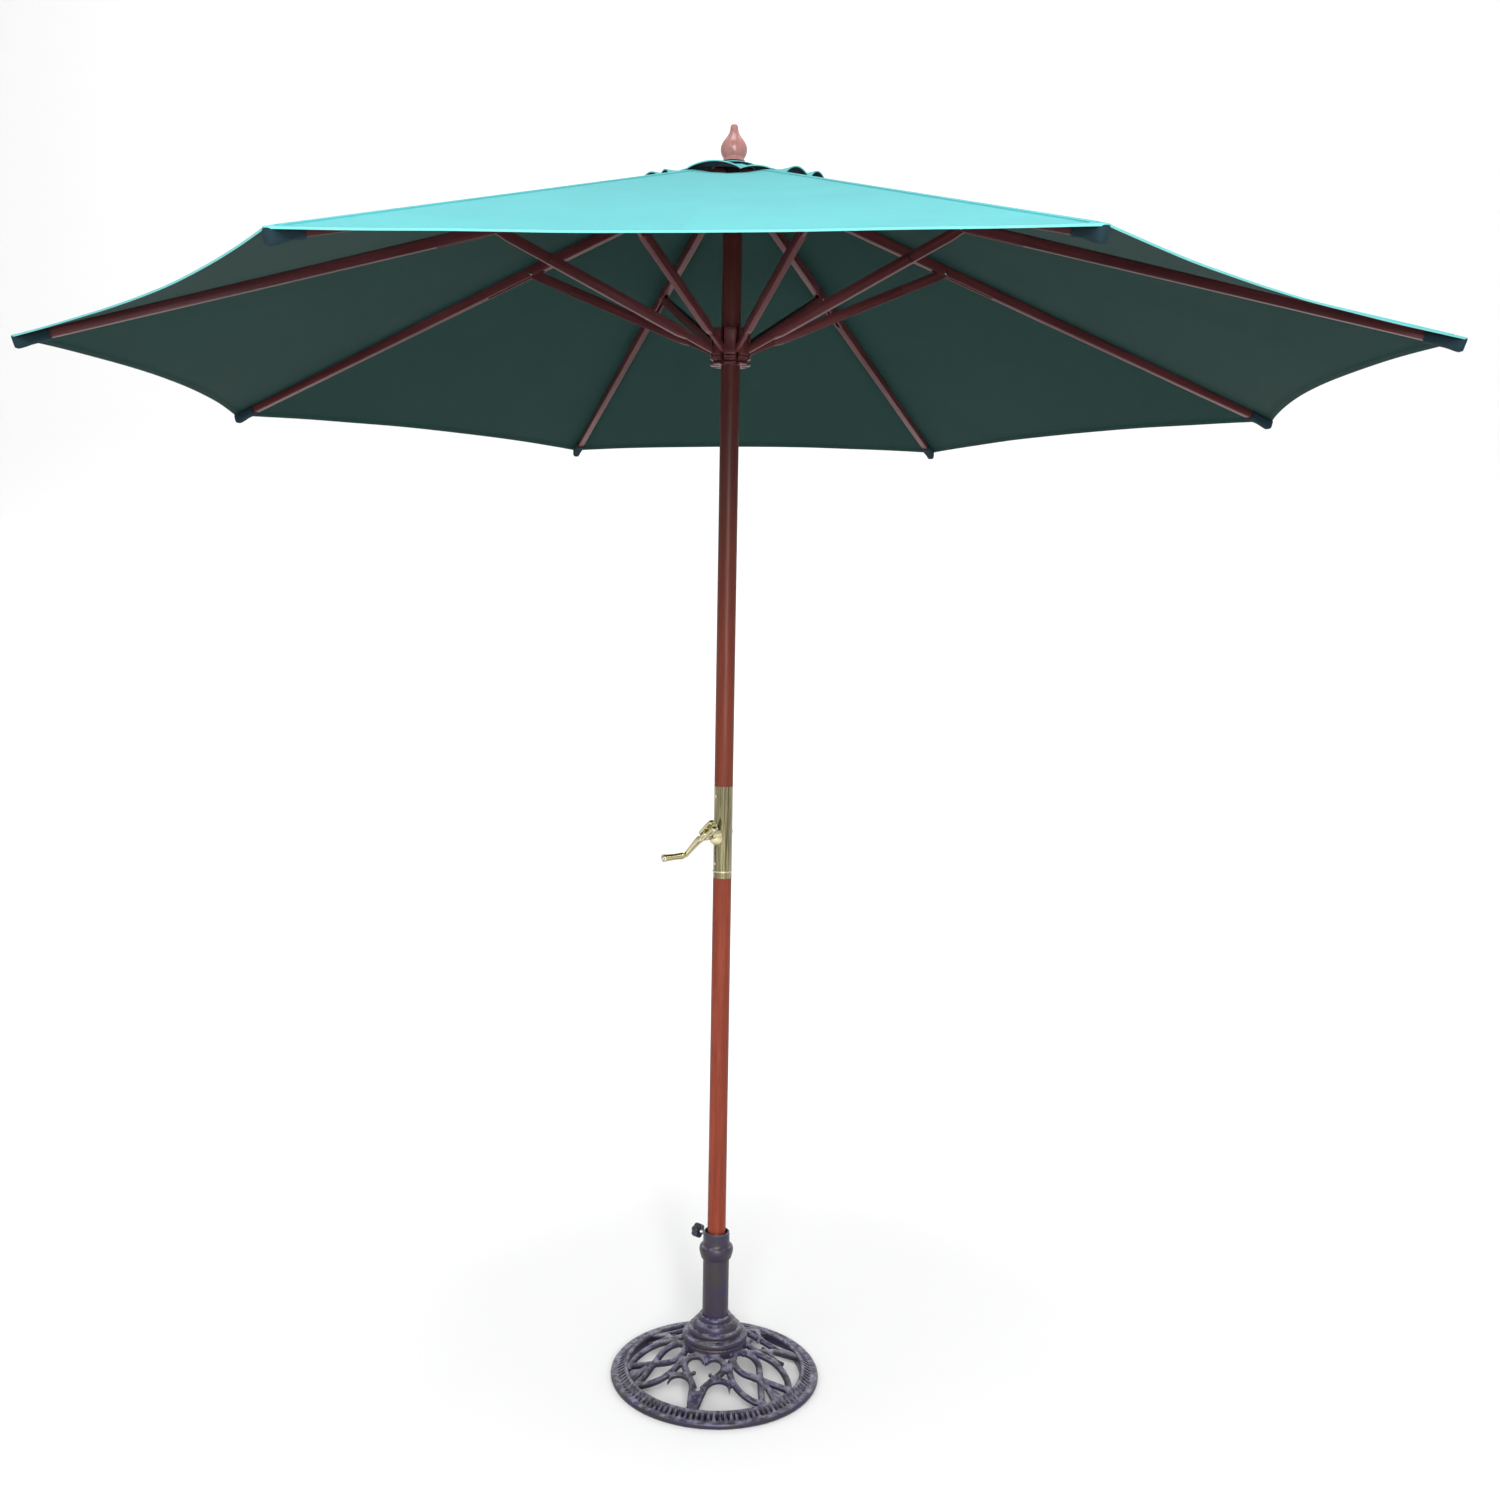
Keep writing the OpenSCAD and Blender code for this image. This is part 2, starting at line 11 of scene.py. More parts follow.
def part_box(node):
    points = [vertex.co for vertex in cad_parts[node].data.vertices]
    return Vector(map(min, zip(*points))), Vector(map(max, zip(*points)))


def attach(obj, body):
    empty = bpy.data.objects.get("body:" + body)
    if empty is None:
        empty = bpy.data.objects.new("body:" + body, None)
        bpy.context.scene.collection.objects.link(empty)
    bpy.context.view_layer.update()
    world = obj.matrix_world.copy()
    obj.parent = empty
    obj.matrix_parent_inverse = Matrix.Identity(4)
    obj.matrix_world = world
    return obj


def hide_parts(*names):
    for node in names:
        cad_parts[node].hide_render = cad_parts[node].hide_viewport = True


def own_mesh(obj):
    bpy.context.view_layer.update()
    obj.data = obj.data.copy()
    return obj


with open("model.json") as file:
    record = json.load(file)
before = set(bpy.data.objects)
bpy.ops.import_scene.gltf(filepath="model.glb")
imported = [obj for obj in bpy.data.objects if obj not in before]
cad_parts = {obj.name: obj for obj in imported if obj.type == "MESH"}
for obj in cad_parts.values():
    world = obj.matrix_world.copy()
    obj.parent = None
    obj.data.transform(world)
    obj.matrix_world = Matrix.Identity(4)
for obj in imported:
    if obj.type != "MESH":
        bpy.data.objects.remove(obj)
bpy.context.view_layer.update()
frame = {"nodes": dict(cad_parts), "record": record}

RIBS = 8
RIB_STEP = math.tau / RIBS
RIB_PHASE = RIB_STEP / 2
MM = 0.001
JOINTS = {j["name"]: j for j in frame["record"]["behaviour"]["joints"]}

# Rib pivots and strut pivots come from the frame's own joints, the pole's radius from its box; the
# rib's slope and the strut's inner end are given as numbers.
HUB_R = math.hypot(*JOINTS["rib_fold_1"]["pos_m"][:2])
HUB_Z = JOINTS["rib_fold_1"]["pos_m"][2]
JOINT_R = math.hypot(*JOINTS["strut_fold_1"]["pos_m"][:2])
JOINT_Z = JOINTS["strut_fold_1"]["pos_m"][2]
POLE_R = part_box("upper_pole")[1].x
RIB_SLOPE = math.radians(17.97)
RIB_TIP_R = 1.300
STRUT_INNER_R = 0.034
STRUT_INNER_Z = 2.114


# ---------------------------------------------------------------- camera and stage


def make_camera():
    """Camera at the photograph's place: 3 m away and 1.6 m up, just left of the front."""
    bearing, distance, height = math.radians(3.083), 2.985, 1.598
    yaw = math.radians(0.877) + bearing
    pitch, roll = math.radians(-5.324), math.radians(0.842)
    forward = Vector((-math.sin(yaw) * math.cos(pitch), math.cos(yaw) * math.cos(pitch),
                      math.sin(pitch)))
    side = forward.cross(Vector((0, 0, 1))).normalized()
    up = side.cross(forward)
    right = side * math.cos(roll) + up * math.sin(roll)
    above = up * math.cos(roll) - side * math.sin(roll)
    data = bpy.data.cameras.new("camera")
    data.sensor_width = 36
    data.lens = 35.477
    data.shift_x = 0.0322
    data.shift_y = 0.0009
    data.clip_end = 60
    camera = bpy.data.objects.new("camera", data)
    bpy.context.scene.collection.objects.link(camera)
    place = (distance * math.sin(bearing), -distance * math.cos(bearing), height)
    camera.matrix_world = axes(right, above, -forward, place)
    bpy.context.scene.camera = camera


def make_light(name, kind, energy, place, target, size):
    """A white light aimed at a point; size is metres for an area, radians for a sun."""
    data = bpy.data.lights.new(name, kind)
    data.energy = energy
    if kind == "AREA":
        data.size = size
    else:
        data.angle = size
    light = bpy.data.objects.new(name, data)
    bpy.context.scene.collection.objects.link(light)
    light.location = place
    aim = Vector(target) - Vector(place)
    light.rotation_euler = aim.to_track_quat("-Z", "Y").to_euler()


def make_stage():
    """A pale floor that curves up into a backdrop, a bright world and soft lights."""
    half, back, top, bend, steps = 14.0, 9.0, 12.0, 3.0, 16
    outline = [(-half, 0.0)]
    for i in range(steps + 1):
        a = math.pi / 2 * i / steps
        outline.append((back - bend + bend * math.sin(a), bend - bend * math.cos(a)))
    outline.append((back, top))
    verts = [(x, y, z) for y, z in outline for x in (-half, half)]
    faces = [(2 * i, 2 * i + 1, 2 * i + 3, 2 * i + 2) for i in range(len(outline) - 1)]
    paint = Shader("floor", Base_Color=(0.86, 0.86, 0.86, 1), Roughness=0.9).material
    new_piece("floor", verts, faces, [paint])
    world = bpy.data.worlds.new("world")
    bpy.context.scene.world = world
    world.use_nodes = True
    world.node_tree.nodes["Background"].inputs["Color"].default_value = (1, 1, 1, 1)
    world.node_tree.nodes["Background"].inputs["Strength"].default_value = 0.74
    make_light("key", "AREA", 35, (-2.6, -4.2, 4.6), (0, 0, 1.4), 2.4)
    make_light("fill", "AREA", 64, (0.9, -4.6, 1.5), (0, 0, 1.1), 0.35)
    make_light("front", "AREA", 185, (0.3, -4.5, 3.0), (0, 0, 0), 2.0)
    make_light("sky", "SUN", 1.0, (0, 0, 8), (0.3, 0.6, 0), 0.5)
    make_light("backdrop", "AREA", 300, (0, 4.8, 9.5), (0, 9, 3.5), 7.0)
    bpy.context.scene.view_settings.view_transform = "Standard"


# ---------------------------------------------------------------- materials


class Shader:
    """A small helper around one Principled material's node tree."""

    def __init__(self, name, **sockets):
        self.material = bpy.data.materials.new(name)
        self.material.use_nodes = True
        self.tree = self.material.node_tree
        self.bsdf = self.tree.nodes["Principled BSDF"]
        for key, value in sockets.items():
            self.feed(self.bsdf.inputs[key.replace("_", " ")], value)
        self.coord = self.tree.nodes.new("ShaderNodeTexCoord").outputs["Object"]

    def feed(self, socket, value):
        """Links another node's output to a socket, or sets the socket to a plain value."""
        if isinstance(value, bpy.types.NodeSocket):
            self.tree.links.new(value, socket)
        else:
            socket.default_value = value

    def node(self, kind, inputs=None, **settings):
        """A new node, its inputs fed and its settings set."""
        made = self.tree.nodes.new(kind)
        for key, value in settings.items():
            setattr(made, key, value)
        for key, value in (inputs or {}).items():
            self.feed(made.inputs[key], value)
        return made

    def scaled(self, scale):
        """Object coordinates, scaled along each axis."""
        return self.node("ShaderNodeMapping", {"Vector": self.coord, "Scale": scale}).outputs[0]

    def stretched(self, across, lengthwise, axis):
        """Coordinates in which a noise runs in long streaks along one axis."""
        scale = [across] * 3
        scale[axis] = lengthwise
        return self.scaled(scale)

    def noise(self, vector, scale, detail=4.0, rough=0.5, distortion=0.0):
        """Noise from 0 to 1."""
        return self.node("ShaderNodeTexNoise", {
            "Vector": vector, "Scale": scale, "Detail": detail, "Roughness": rough,
            "Distortion": distortion}).outputs["Fac"]

    def ramp(self, factor, stops):
        """Colours looked up by a factor, from stops of (place, colour)."""
        made = self.node("ShaderNodeValToRGB", {"Fac": factor})
        band = made.color_ramp
        while len(band.elements) < len(stops):
            band.elements.new(0.5)
        for element, (place, colour) in zip(band.elements, stops):
            element.position = place
            element.color = (*colour, 1)
        return made.outputs["Color"]

    def mix(self, factor, a, b):
        """Blends two colours, each a triple or a node's output."""
        made = self.node("ShaderNodeMix", {"Factor": factor}, data_type="RGBA")
        for socket, colour in ((made.inputs[6], a), (made.inputs[7], b)):
            linked = isinstance(colour, bpy.types.NodeSocket)
            self.feed(socket, colour if linked else (*colour, 1))
        return made.outputs[2]

    def math(self, operation, a, b):
        """One arithmetic operation on two values."""
        made = self.node("ShaderNodeMath", operation=operation)
        self.feed(made.inputs[0], a)
        self.feed(made.inputs[1], b)
        return made.outputs[0]

    def weighted(self, a, share_a, b, share_b):
        """Sum of two values, each times its share."""
        return self.math("ADD", self.math("MULTIPLY", a, share_a),
                         self.math("MULTIPLY", b, share_b))

    def remap(self, value, low, high, to_low, to_high):
        """The value's range low to high, carried over to another range."""
        return self.node("ShaderNodeMapRange", {
            "Value": value, "From Min": low, "From Max": high,
            "To Min": to_low, "To Max": to_high}).outputs[0]

    def link(self, output, socket):
        """Feeds an input of the Principled shader."""
        self.tree.links.new(output, self.bsdf.inputs[socket])

    def bump(self, height, distance, strength=1.0):
        """Relief of the given height map and depth in metres."""
        made = self.node("ShaderNodeBump", {
            "Height": height, "Distance": distance, "Strength": strength})
        self.link(made.outputs[0], "Normal")


# Deep red-brown painted on the upper pole as the canopy's shade.
CANOPY_PAINTED_SHADE = (0.020, 0.007, 0.009)


def wood(name, dark, light, along, roughness=0.42, painted_shade_z=None, gloss=0.15):
    """Stained, varnished wood: long fibres, growth figure and fine pores along one axis."""
    s = Shader(name, Roughness=roughness, Specular_IOR_Level=gloss,
               Coat_Weight=gloss * 0.3, Coat_Roughness=0.25)
    fibres = s.noise(s.stretched(38.0, 1.6, along), 3.0, 6.0, 0.6, 0.25)
    figure = s.noise(s.stretched(14.0, 0.9, along), 2.0, 3.0, 0.5, 0.9)
    pores = s.noise(s.stretched(420.0, 16.0, along), 1.0, 2.0, 0.6)
    middle = [(a + b) / 2 for a, b in zip(dark, light)]
    base = s.ramp(fibres, [(0.30, dark), (0.55, middle), (0.75, light)])
    warm = s.mix(s.remap(figure, 0.35, 0.65, 0.0, 0.45), base, [v * 0.62 for v in dark])
    pored = s.mix(s.remap(pores, 0.60, 0.72, 0.0, 0.5), warm, [v * 0.35 for v in dark])
    if painted_shade_z:
        # Painted shade: the colour darkens with height towards a deep red-brown under the canopy,
        # standing in for the canopy's shadow on the pole.
        height = s.node("ShaderNodeSeparateXYZ", {"Vector": s.coord}).outputs["Z"]
        painted_shade_share = s.remap(height, painted_shade_z[0], painted_shade_z[1], 0.0, 0.72)
        pored = s.mix(painted_shade_share, pored, CANOPY_PAINTED_SHADE)
    s.link(pored, "Base Color")
    s.link(s.remap(fibres, 0.2, 0.8, roughness + 0.08, roughness - 0.06), "Roughness")
    s.bump(s.weighted(fibres, 0.6, pores, -0.5), 0.0004, 0.5)
    return s.material


def cloth(name, colour, shade, sheen=0.06):
    """Woven polyester: crossing threads with slight colour variation, and painted shade in the gaps
    between the threads.
    """
    s = Shader(name, Roughness=0.88, Specular_IOR_Level=0.15, Sheen_Weight=sheen,
               Sheen_Roughness=0.5)
    waves = []
    for direction in ("X", "Y"):
        waves.append(s.node("ShaderNodeTexWave", {
            "Vector": s.coord, "Scale": 420.0, "Distortion": 0.6, "Detail": 1.0,
            "Detail Scale": 1.5}, wave_type="BANDS", bands_direction=direction).outputs["Fac"])
    weave = s.math("MAXIMUM", waves[0], waves[1])
    cloud = s.noise(s.coord, 5.0, 5.0, 0.6)
    slubs = s.noise(s.scaled((900, 60, 900)), 1.0, 2.0)
    tint = s.mix(s.remap(cloud, 0.3, 0.7, 0.0, 1.0), colour, [v * 0.88 for v in colour])
    # Painted shade: the gaps between the woven threads take the darker colour.
    tint = s.mix(s.remap(weave, 0.2, 0.9, 0.35, 0.0), tint, shade)
    tint = s.mix(s.remap(slubs, 0.62, 0.75, 0.0, 0.25), tint, shade)
    s.link(tint, "Base Color")
    s.bump(weave, 0.00025, 0.6)
    return s.material


def metal(name, colour, shade, roughness, streak=(60, 60, 900), grain=0.5):
    """Plated or polished metal with fingerprints, faint scratches and duller patches; where long
    streaks rule the mix, as on the sleeve, they are painted reflection bands.
    """
    s = Shader(name, Metallic=1.0, Roughness=roughness, Coat_Weight=0.7, Coat_Roughness=0.06)
    cloud = s.noise(s.coord, 14.0, 6.0, 0.6)
    fine = s.noise(s.scaled(streak), 4.0, 3.0, 0.7)
    # With grain near 1 the long streaks make painted reflection bands, dark and bright; otherwise
    # the mix gives duller patches and scratches.
    wear_and_painted_reflection = s.weighted(cloud, 1 - grain, fine, grain)
    s.link(s.mix(s.remap(wear_and_painted_reflection, 0.40, 0.60, 0.0, 1.0), colour, shade), "Base Color")
    mixed = s.weighted(cloud, 0.7, fine, 0.3)
    s.link(s.remap(mixed, 0.3, 0.7, roughness - 0.08, roughness + 0.14), "Roughness")
    s.bump(fine, 0.00008, 0.4)
    return s.material


def cast_iron(name, edges, painted_shade_factor=1.0):
    """Antique pewter finish: dark violet-grey casting skin with rubbed, brighter metal, and a
    painted highlight on faces turned upwards.
    """
    s = Shader(name, Metallic=0.35, Roughness=0.42, Specular_IOR_Level=0.45)
    skin = s.noise(s.coord, 420.0, 5.0, 0.65)
    cloud = s.noise(s.coord, 22.0, 5.0, 0.6)
    rubbed = s.noise(s.coord, 60.0, 4.0, 0.7)
    up = s.node("ShaderNodeSeparateXYZ", {
        "Vector": s.node("ShaderNodeNewGeometry").outputs["Normal"]}).outputs["Z"]
    violet, bronze, rubbed_and_highlight_colour = (0.028, 0.020, 0.057), (0.034, 0.027, 0.029), (0.32, 0.32, 0.42)
    # A tone below 1 darkens every colour, making a painted-shade copy of the iron.
    violet, bronze, rubbed_and_highlight_colour = ([v * painted_shade_factor for v in c] for c in (violet, bronze, rubbed_and_highlight_colour))
    base = s.mix(s.remap(cloud, 0.40, 0.60, 0.0, 1.0), violet, bronze)
    # Painted highlight: faces turned upwards take the brighter colour, as where light falls from
    # above, broken up by rubbed patches; pointy edges below take it as real wear.
    rubbed_and_painted_highlight = s.math("MULTIPLY", s.remap(up, 0.45, 0.95, 0.0, 0.70),
                  s.remap(rubbed, 0.42, 0.62, 0.1, 1.0))
    if edges:
        edge = s.node("ShaderNodeNewGeometry").outputs["Pointiness"]
        rubbed_and_painted_highlight = s.math("MAXIMUM", rubbed_and_painted_highlight, s.remap(edge, 0.53, 0.60, 0.0, 0.9))
    s.link(s.mix(rubbed_and_painted_highlight, base, rubbed_and_highlight_colour), "Base Color")
    s.link(s.remap(skin, 0.3, 0.7, 0.26, 0.50), "Roughness")
    s.bump(s.weighted(skin, 1.0, rubbed, 0.8), 0.0005, 0.55)
    return s.material


def plastic(name, colour):
    """Moulded plastic with a fine grain."""
    s = Shader(name, Roughness=0.38)
    grain = s.noise(s.coord, 900.0, 3.0, 0.6)
    cloud = s.noise(s.coord, 40.0, 3.0)
    s.link(s.mix(s.remap(cloud, 0.3, 0.7, 0, 1), colour, [v * 1.7 for v in colour]), "Base Color")
    s.bump(grain, 0.0001, 0.4)
    return s.material


def braid(name, colour):
    """Braided cord, with painted shade in the grooves between its strands."""
    s = Shader(name, Roughness=0.75)
    wave = s.node("ShaderNodeTexWave", {"Vector": s.coord, "Scale": 160.0, "Distortion": 2.0},
                  bands_direction="DIAGONAL").outputs["Fac"]
    # Painted shade: the grooves of the braid take the darker colour.
    s.link(s.mix(wave, [v * 0.6 for v in colour], colour), "Base Color")
    s.bump(wave, 0.0004, 0.8)
    return s.material


def make_materials():
    """Every finish, with darker and lighter tones matched to the photograph."""
    return {
        "pole_lower": wood("pole_lower", (0.135, 0.021, 0.009), (0.240, 0.046, 0.021), 2),
        # The upper pole darkens with height under the canopy: painted shade.
        "pole_upper_painted_shade": wood("pole_upper_painted_shade", (0.102, 0.018, 0.008), (0.180, 0.036, 0.016), 2,
                           painted_shade_z=(1.35, 1.95)),
        # Hub wood: the turned wood made far darker, as painted shade under the vent flap.
        "hub_wood_painted_shade": wood("hub_wood_painted_shade", (0.012, 0.007, 0.010), (0.030, 0.014, 0.018), 2),
        "turned_wood": wood("turned_wood", (0.052, 0.012, 0.014), (0.110, 0.032, 0.030), 2),
        "finial_wood": wood("finial_wood", (0.27, 0.105, 0.095), (0.46, 0.22, 0.20), 2, 0.26,
                            gloss=0.40),
        "rib_wood": wood("rib_wood", (0.048, 0.010, 0.013), (0.105, 0.030, 0.030), 0),
        "cloth_top": cloth("cloth_top", (0.080, 0.405, 0.425), (0.052, 0.29, 0.31)),
        "cloth_hem": cloth("cloth_hem", (0.125, 0.43, 0.42), (0.09, 0.33, 0.32)),
        # Canopy underside: the turquoise cloth made far darker, as painted shade under the canopy.
        "cloth_underside_painted_shade": cloth("cloth_underside_painted_shade", (0.0046, 0.028, 0.0235), (0.0028, 0.018, 0.0155), 0.0),
        # Dark teal copy of the cloth: painted shade for the undersides of the tape and flap, and
        # for the tip pockets under the canopy.
        "cloth_painted_shade": cloth("cloth_painted_shade", (0.008, 0.022, 0.030), (0.004, 0.012, 0.017), 0.0),
        # Sleeve brass: its long vertical dark and bright streaks are painted reflection bands.
        "sleeve_brass_painted_reflections": metal("sleeve_brass_painted_reflections", (0.36, 0.32, 0.16), (0.036, 0.033, 0.014), 0.17,
                              (130, 130, 1.5), 0.9),
        "brass": metal("brass", (0.70, 0.64, 0.40), (0.34, 0.30, 0.17), 0.22),
        "steel": metal("steel", (0.60, 0.61, 0.66), (0.38, 0.39, 0.43), 0.26),
        "cast_iron": cast_iron("cast_iron", True),
        "iron_tube": cast_iron("iron_tube", False),
        # Iron for the flutes' grooves: the iron darkened as painted shade.
        "iron_groove_painted_shade": cast_iron("iron_groove_painted_shade", False, 0.22),
        "black_plastic": plastic("black_plastic", (0.010, 0.010, 0.018)),
        "cord": braid("cord", (0.62, 0.62, 0.56)),
    }


# ---------------------------------------------------------------- mesh helpers


def new_piece(name, verts, faces, materials, face_slots=None):
    """A smooth-shaded mesh object in the row frame."""
    mesh = bpy.data.meshes.new(name)
    mesh.from_pydata([tuple(v) for v in verts], [], faces)
    for material in materials:
        mesh.materials.append(material)
    if face_slots is not None:
        mesh.polygons.foreach_set("material_index", face_slots)
    piece = bpy.data.objects.new(name, mesh)
    smooth_faces(piece)
    mesh.update()
    bpy.context.scene.collection.objects.link(piece)
    return piece


def angles(steps):
    """Even steps round a full circle."""
    return [math.tau * k / steps for k in range(steps)]


def climb(v, start, width):
    """Rises from 0 to 1 while v passes from start to start + width."""
    return min(1.0, max(0.0, (v - start) / width))


def tube_walls(rows, ring, first=0, caps=False):
    """Faces of a tube of rows + 1 rings, each of ring points, numbered from first."""
    faces = []
    for k in range(rows):
        here, after = first + k * ring, first + (k + 1) * ring
        for a in range(ring):
            b = (a + 1) % ring
            faces.append((here + a, here + b, after + b, after + a))
    if caps:
        faces.append(tuple(range(first + ring - 1, first - 1, -1)))
        faces.append(tuple(first + rows * ring + a for a in range(ring)))
    return faces


def turned_faces(around, rows, closed):
    """Faces of an outline of rows points that is repeated around an axis."""
    faces = []
    for k in range(around):
        n = (k + 1) % around
        for i in range(rows if closed else rows - 1):
            j = (i + 1) % rows
            faces.append((k * rows + i, n * rows + i, n * rows + j, k * rows + j))
    return faces


def turn(axis, angle):
    """Rotation matrix about a named axis."""
    return Matrix.Rotation(angle, 4, axis)


def shift(x, y, z):
    """Translation matrix."""
    return Matrix.Translation((x, y, z))


def axes(x, y, z, origin):
    """Matrix of a local frame, from its three axes and its origin."""
    m = Matrix((x, y, z)).transposed().to_4x4()
    m.translation = origin
    return m


def fix_normals(piece, weld=True):
    """Faces turned outwards, after points that coincide are made one."""
    work = bmesh.new()
    work.from_mesh(piece.data)
    if weld:
        bmesh.ops.remove_doubles(work, verts=work.verts, dist=1e-6)
    bmesh.ops.recalc_face_normals(work, faces=work.faces)
    work.to_mesh(piece.data)
    work.free()


def sharpen(piece, degrees=35):
    """Smooth shading with sharp edges over an angle."""
    limit = math.radians(degrees)
    work = bmesh.new()
    work.from_mesh(piece.data)
    for edge in work.edges:
        edge.smooth = len(edge.link_faces) == 2 and edge.calc_face_angle(0) < limit
    work.to_mesh(piece.data)
    work.free()


def apply_modifiers(piece):
    """Makes a piece's modifiers part of its mesh."""
    graph = bpy.context.evaluated_depsgraph_get()
    graph.update()
    mesh = bpy.data.meshes.new_from_object(piece.evaluated_get(graph))
    piece.modifiers.clear()
    old, piece.data = piece.data, mesh
    bpy.data.meshes.remove(old)


def smooth_faces(piece):
    """Smooth shading on every face."""
    piece.data.polygons.foreach_set("use_smooth", [True] * len(piece.data.polygons))


def bevel(piece, width):
    """Eases the piece's sharp edges."""
    made = piece.modifiers.new("bevel", "BEVEL")
    made.width = width
    made.segments = 3
    made.limit_method = "ANGLE"
    made.angle_limit = math.radians(35)
    apply_modifiers(piece)
    smooth_faces(piece)
    sharpen(piece, 40)


def smooth_outline(points, per_span=6):
    """Catmull-Rom curve through (r, z) points; a repeated point keeps a corner sharp."""
    out = []
    count = len(points)
    for i in range(count - 1):
        p0, p1 = points[max(i - 1, 0)], points[i]
        p2, p3 = points[i + 1], points[min(i + 2, count - 1)]
        if p1 == p2:
            continue
        for k in range(per_span):
            t = k / per_span
            out.append(tuple(0.5 * (2 * b + (c - a) * t + (2 * a - 5 * b + 4 * c - d) * t * t
                                    + (3 * b - a - 3 * c + d) * t ** 3)
                             for a, b, c, d in zip(p0, p1, p2, p3)))
    out.append(points[-1])
    return [(max(r, 0.0), z) for r, z in out]


def raised(z, points):
    """The points (r, height) of an outline, lifted to start at z."""
    return [(r, z + height) for r, height in points]


def lathe(name, outline, materials, around=96, matrix=None, closed=False):
    """Turns an outline of (r, z), in metres, about Z; a closed outline makes a ring."""
    verts = [(r * math.cos(a), r * math.sin(a), z) for a in angles(around) for r, z in outline]
    piece = new_piece(name, verts, turned_faces(around, len(outline), closed), materials)
    fix_normals(piece)
    if matrix is not None:
        piece.matrix_world = matrix
    return piece


def bar(name, outline, width, materials, matrix, bevel_width=0.0012):
    """A flat bar: its outline in the local XZ plane, its width along local Y."""
    count = len(outline)
    verts = [(x, -width / 2, z) for x, z in outline] + [(x, width / 2, z) for x, z in outline]
    faces = [tuple(range(count)), tuple(range(2 * count - 1, count - 1, -1))]
    faces += [(i, i + count, (i + 1) % count + count, (i + 1) % count) for i in range(count)]
    piece = new_piece(name, verts, faces, materials)
    fix_normals(piece)
    if bevel_width:
        bevel(piece, bevel_width)
    piece.matrix_world = matrix
    return piece


def join(name, pieces):
    """One object from several; the first gives its place."""
    work = bmesh.new()
    first = pieces[0]
    inverse = first.matrix_world.inverted()
    for piece in pieces:
        mesh = piece.data.copy()
        mesh.transform(inverse @ piece.matrix_world)
        work.from_mesh(mesh)
    work.to_mesh(first.data)
    work.free()
    for piece in pieces[1:]:
        bpy.data.objects.remove(piece, do_unlink=True)
    first.name = name
    return first


def cylinder(name, radius, length, materials, matrix, around=32, round_edge=0.0005):
    """A short rod along local Z from 0, with rounded ends."""
    e = min(round_edge, radius * 0.4, length * 0.4)
    outline = [(0, 0), (radius - e, 0), (radius - 0.3 * e, 0.3 * e), (radius, e),
               (radius, length - e), (radius - 0.3 * e, length - 0.3 * e),
               (radius - e, length), (0, length)]
    return lathe(name, outline, materials, around, matrix)


def drill(piece, radius, matrix, length):
    """Cuts a round hole through a piece, along the matrix's Z from its origin."""
    tool = cylinder("drill", radius, length, [piece.data.materials[0]], matrix, 24, 0.0001)
    cut = piece.modifiers.new("drill", "BOOLEAN")
    cut.operation = "DIFFERENCE"
    cut.solver = "EXACT"
    cut.object = tool
    apply_modifiers(piece)
    bpy.data.objects.remove(tool)


def own(piece, body, nodes=()):
    """Rides on a body, and stands for CAD nodes."""
    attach(piece, body)
    if nodes:
        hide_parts(*nodes)


# ---------------------------------------------------------------- ribs and struts


def azimuth(i):
    """Direction of rib i, counted from 1."""
    return RIB_PHASE + RIB_STEP * (i - 1)


def rib_matrix(i):
    """Local X outwards along rib i, local Z up across it, origin at its hub pivot."""
    return turn("Z", azimuth(i)) @ shift(HUB_R, 0, HUB_Z) @ turn("Y", RIB_SLOPE)


def strut_matrix(i):
    """Local X inwards along strut i, origin at its pivot on the rib."""
    slope = math.atan2(JOINT_Z - STRUT_INNER_Z, JOINT_R - STRUT_INNER_R)
    return turn("Z", azimuth(i)) @ shift(JOINT_R, 0, JOINT_Z) @ turn("Y", math.pi - slope)


def half_circle(x, r, start):
    """Points half way round a circle on the local X axis, from a start angle."""
    return [(x + r * math.cos(a), r * math.sin(a)) for a in np.linspace(start, start + math.pi, 13)]


RIB_L = (RIB_TIP_R - HUB_R) / math.cos(RIB_SLOPE) - 0.008
RIB_START = 0.02
RIB_W, RIB_H, RIB_TIP_H = 0.014, 0.022, 0.015
JOINT_X = 0.452
SLOT_W = 0.0077
STRUT_H = 0.020


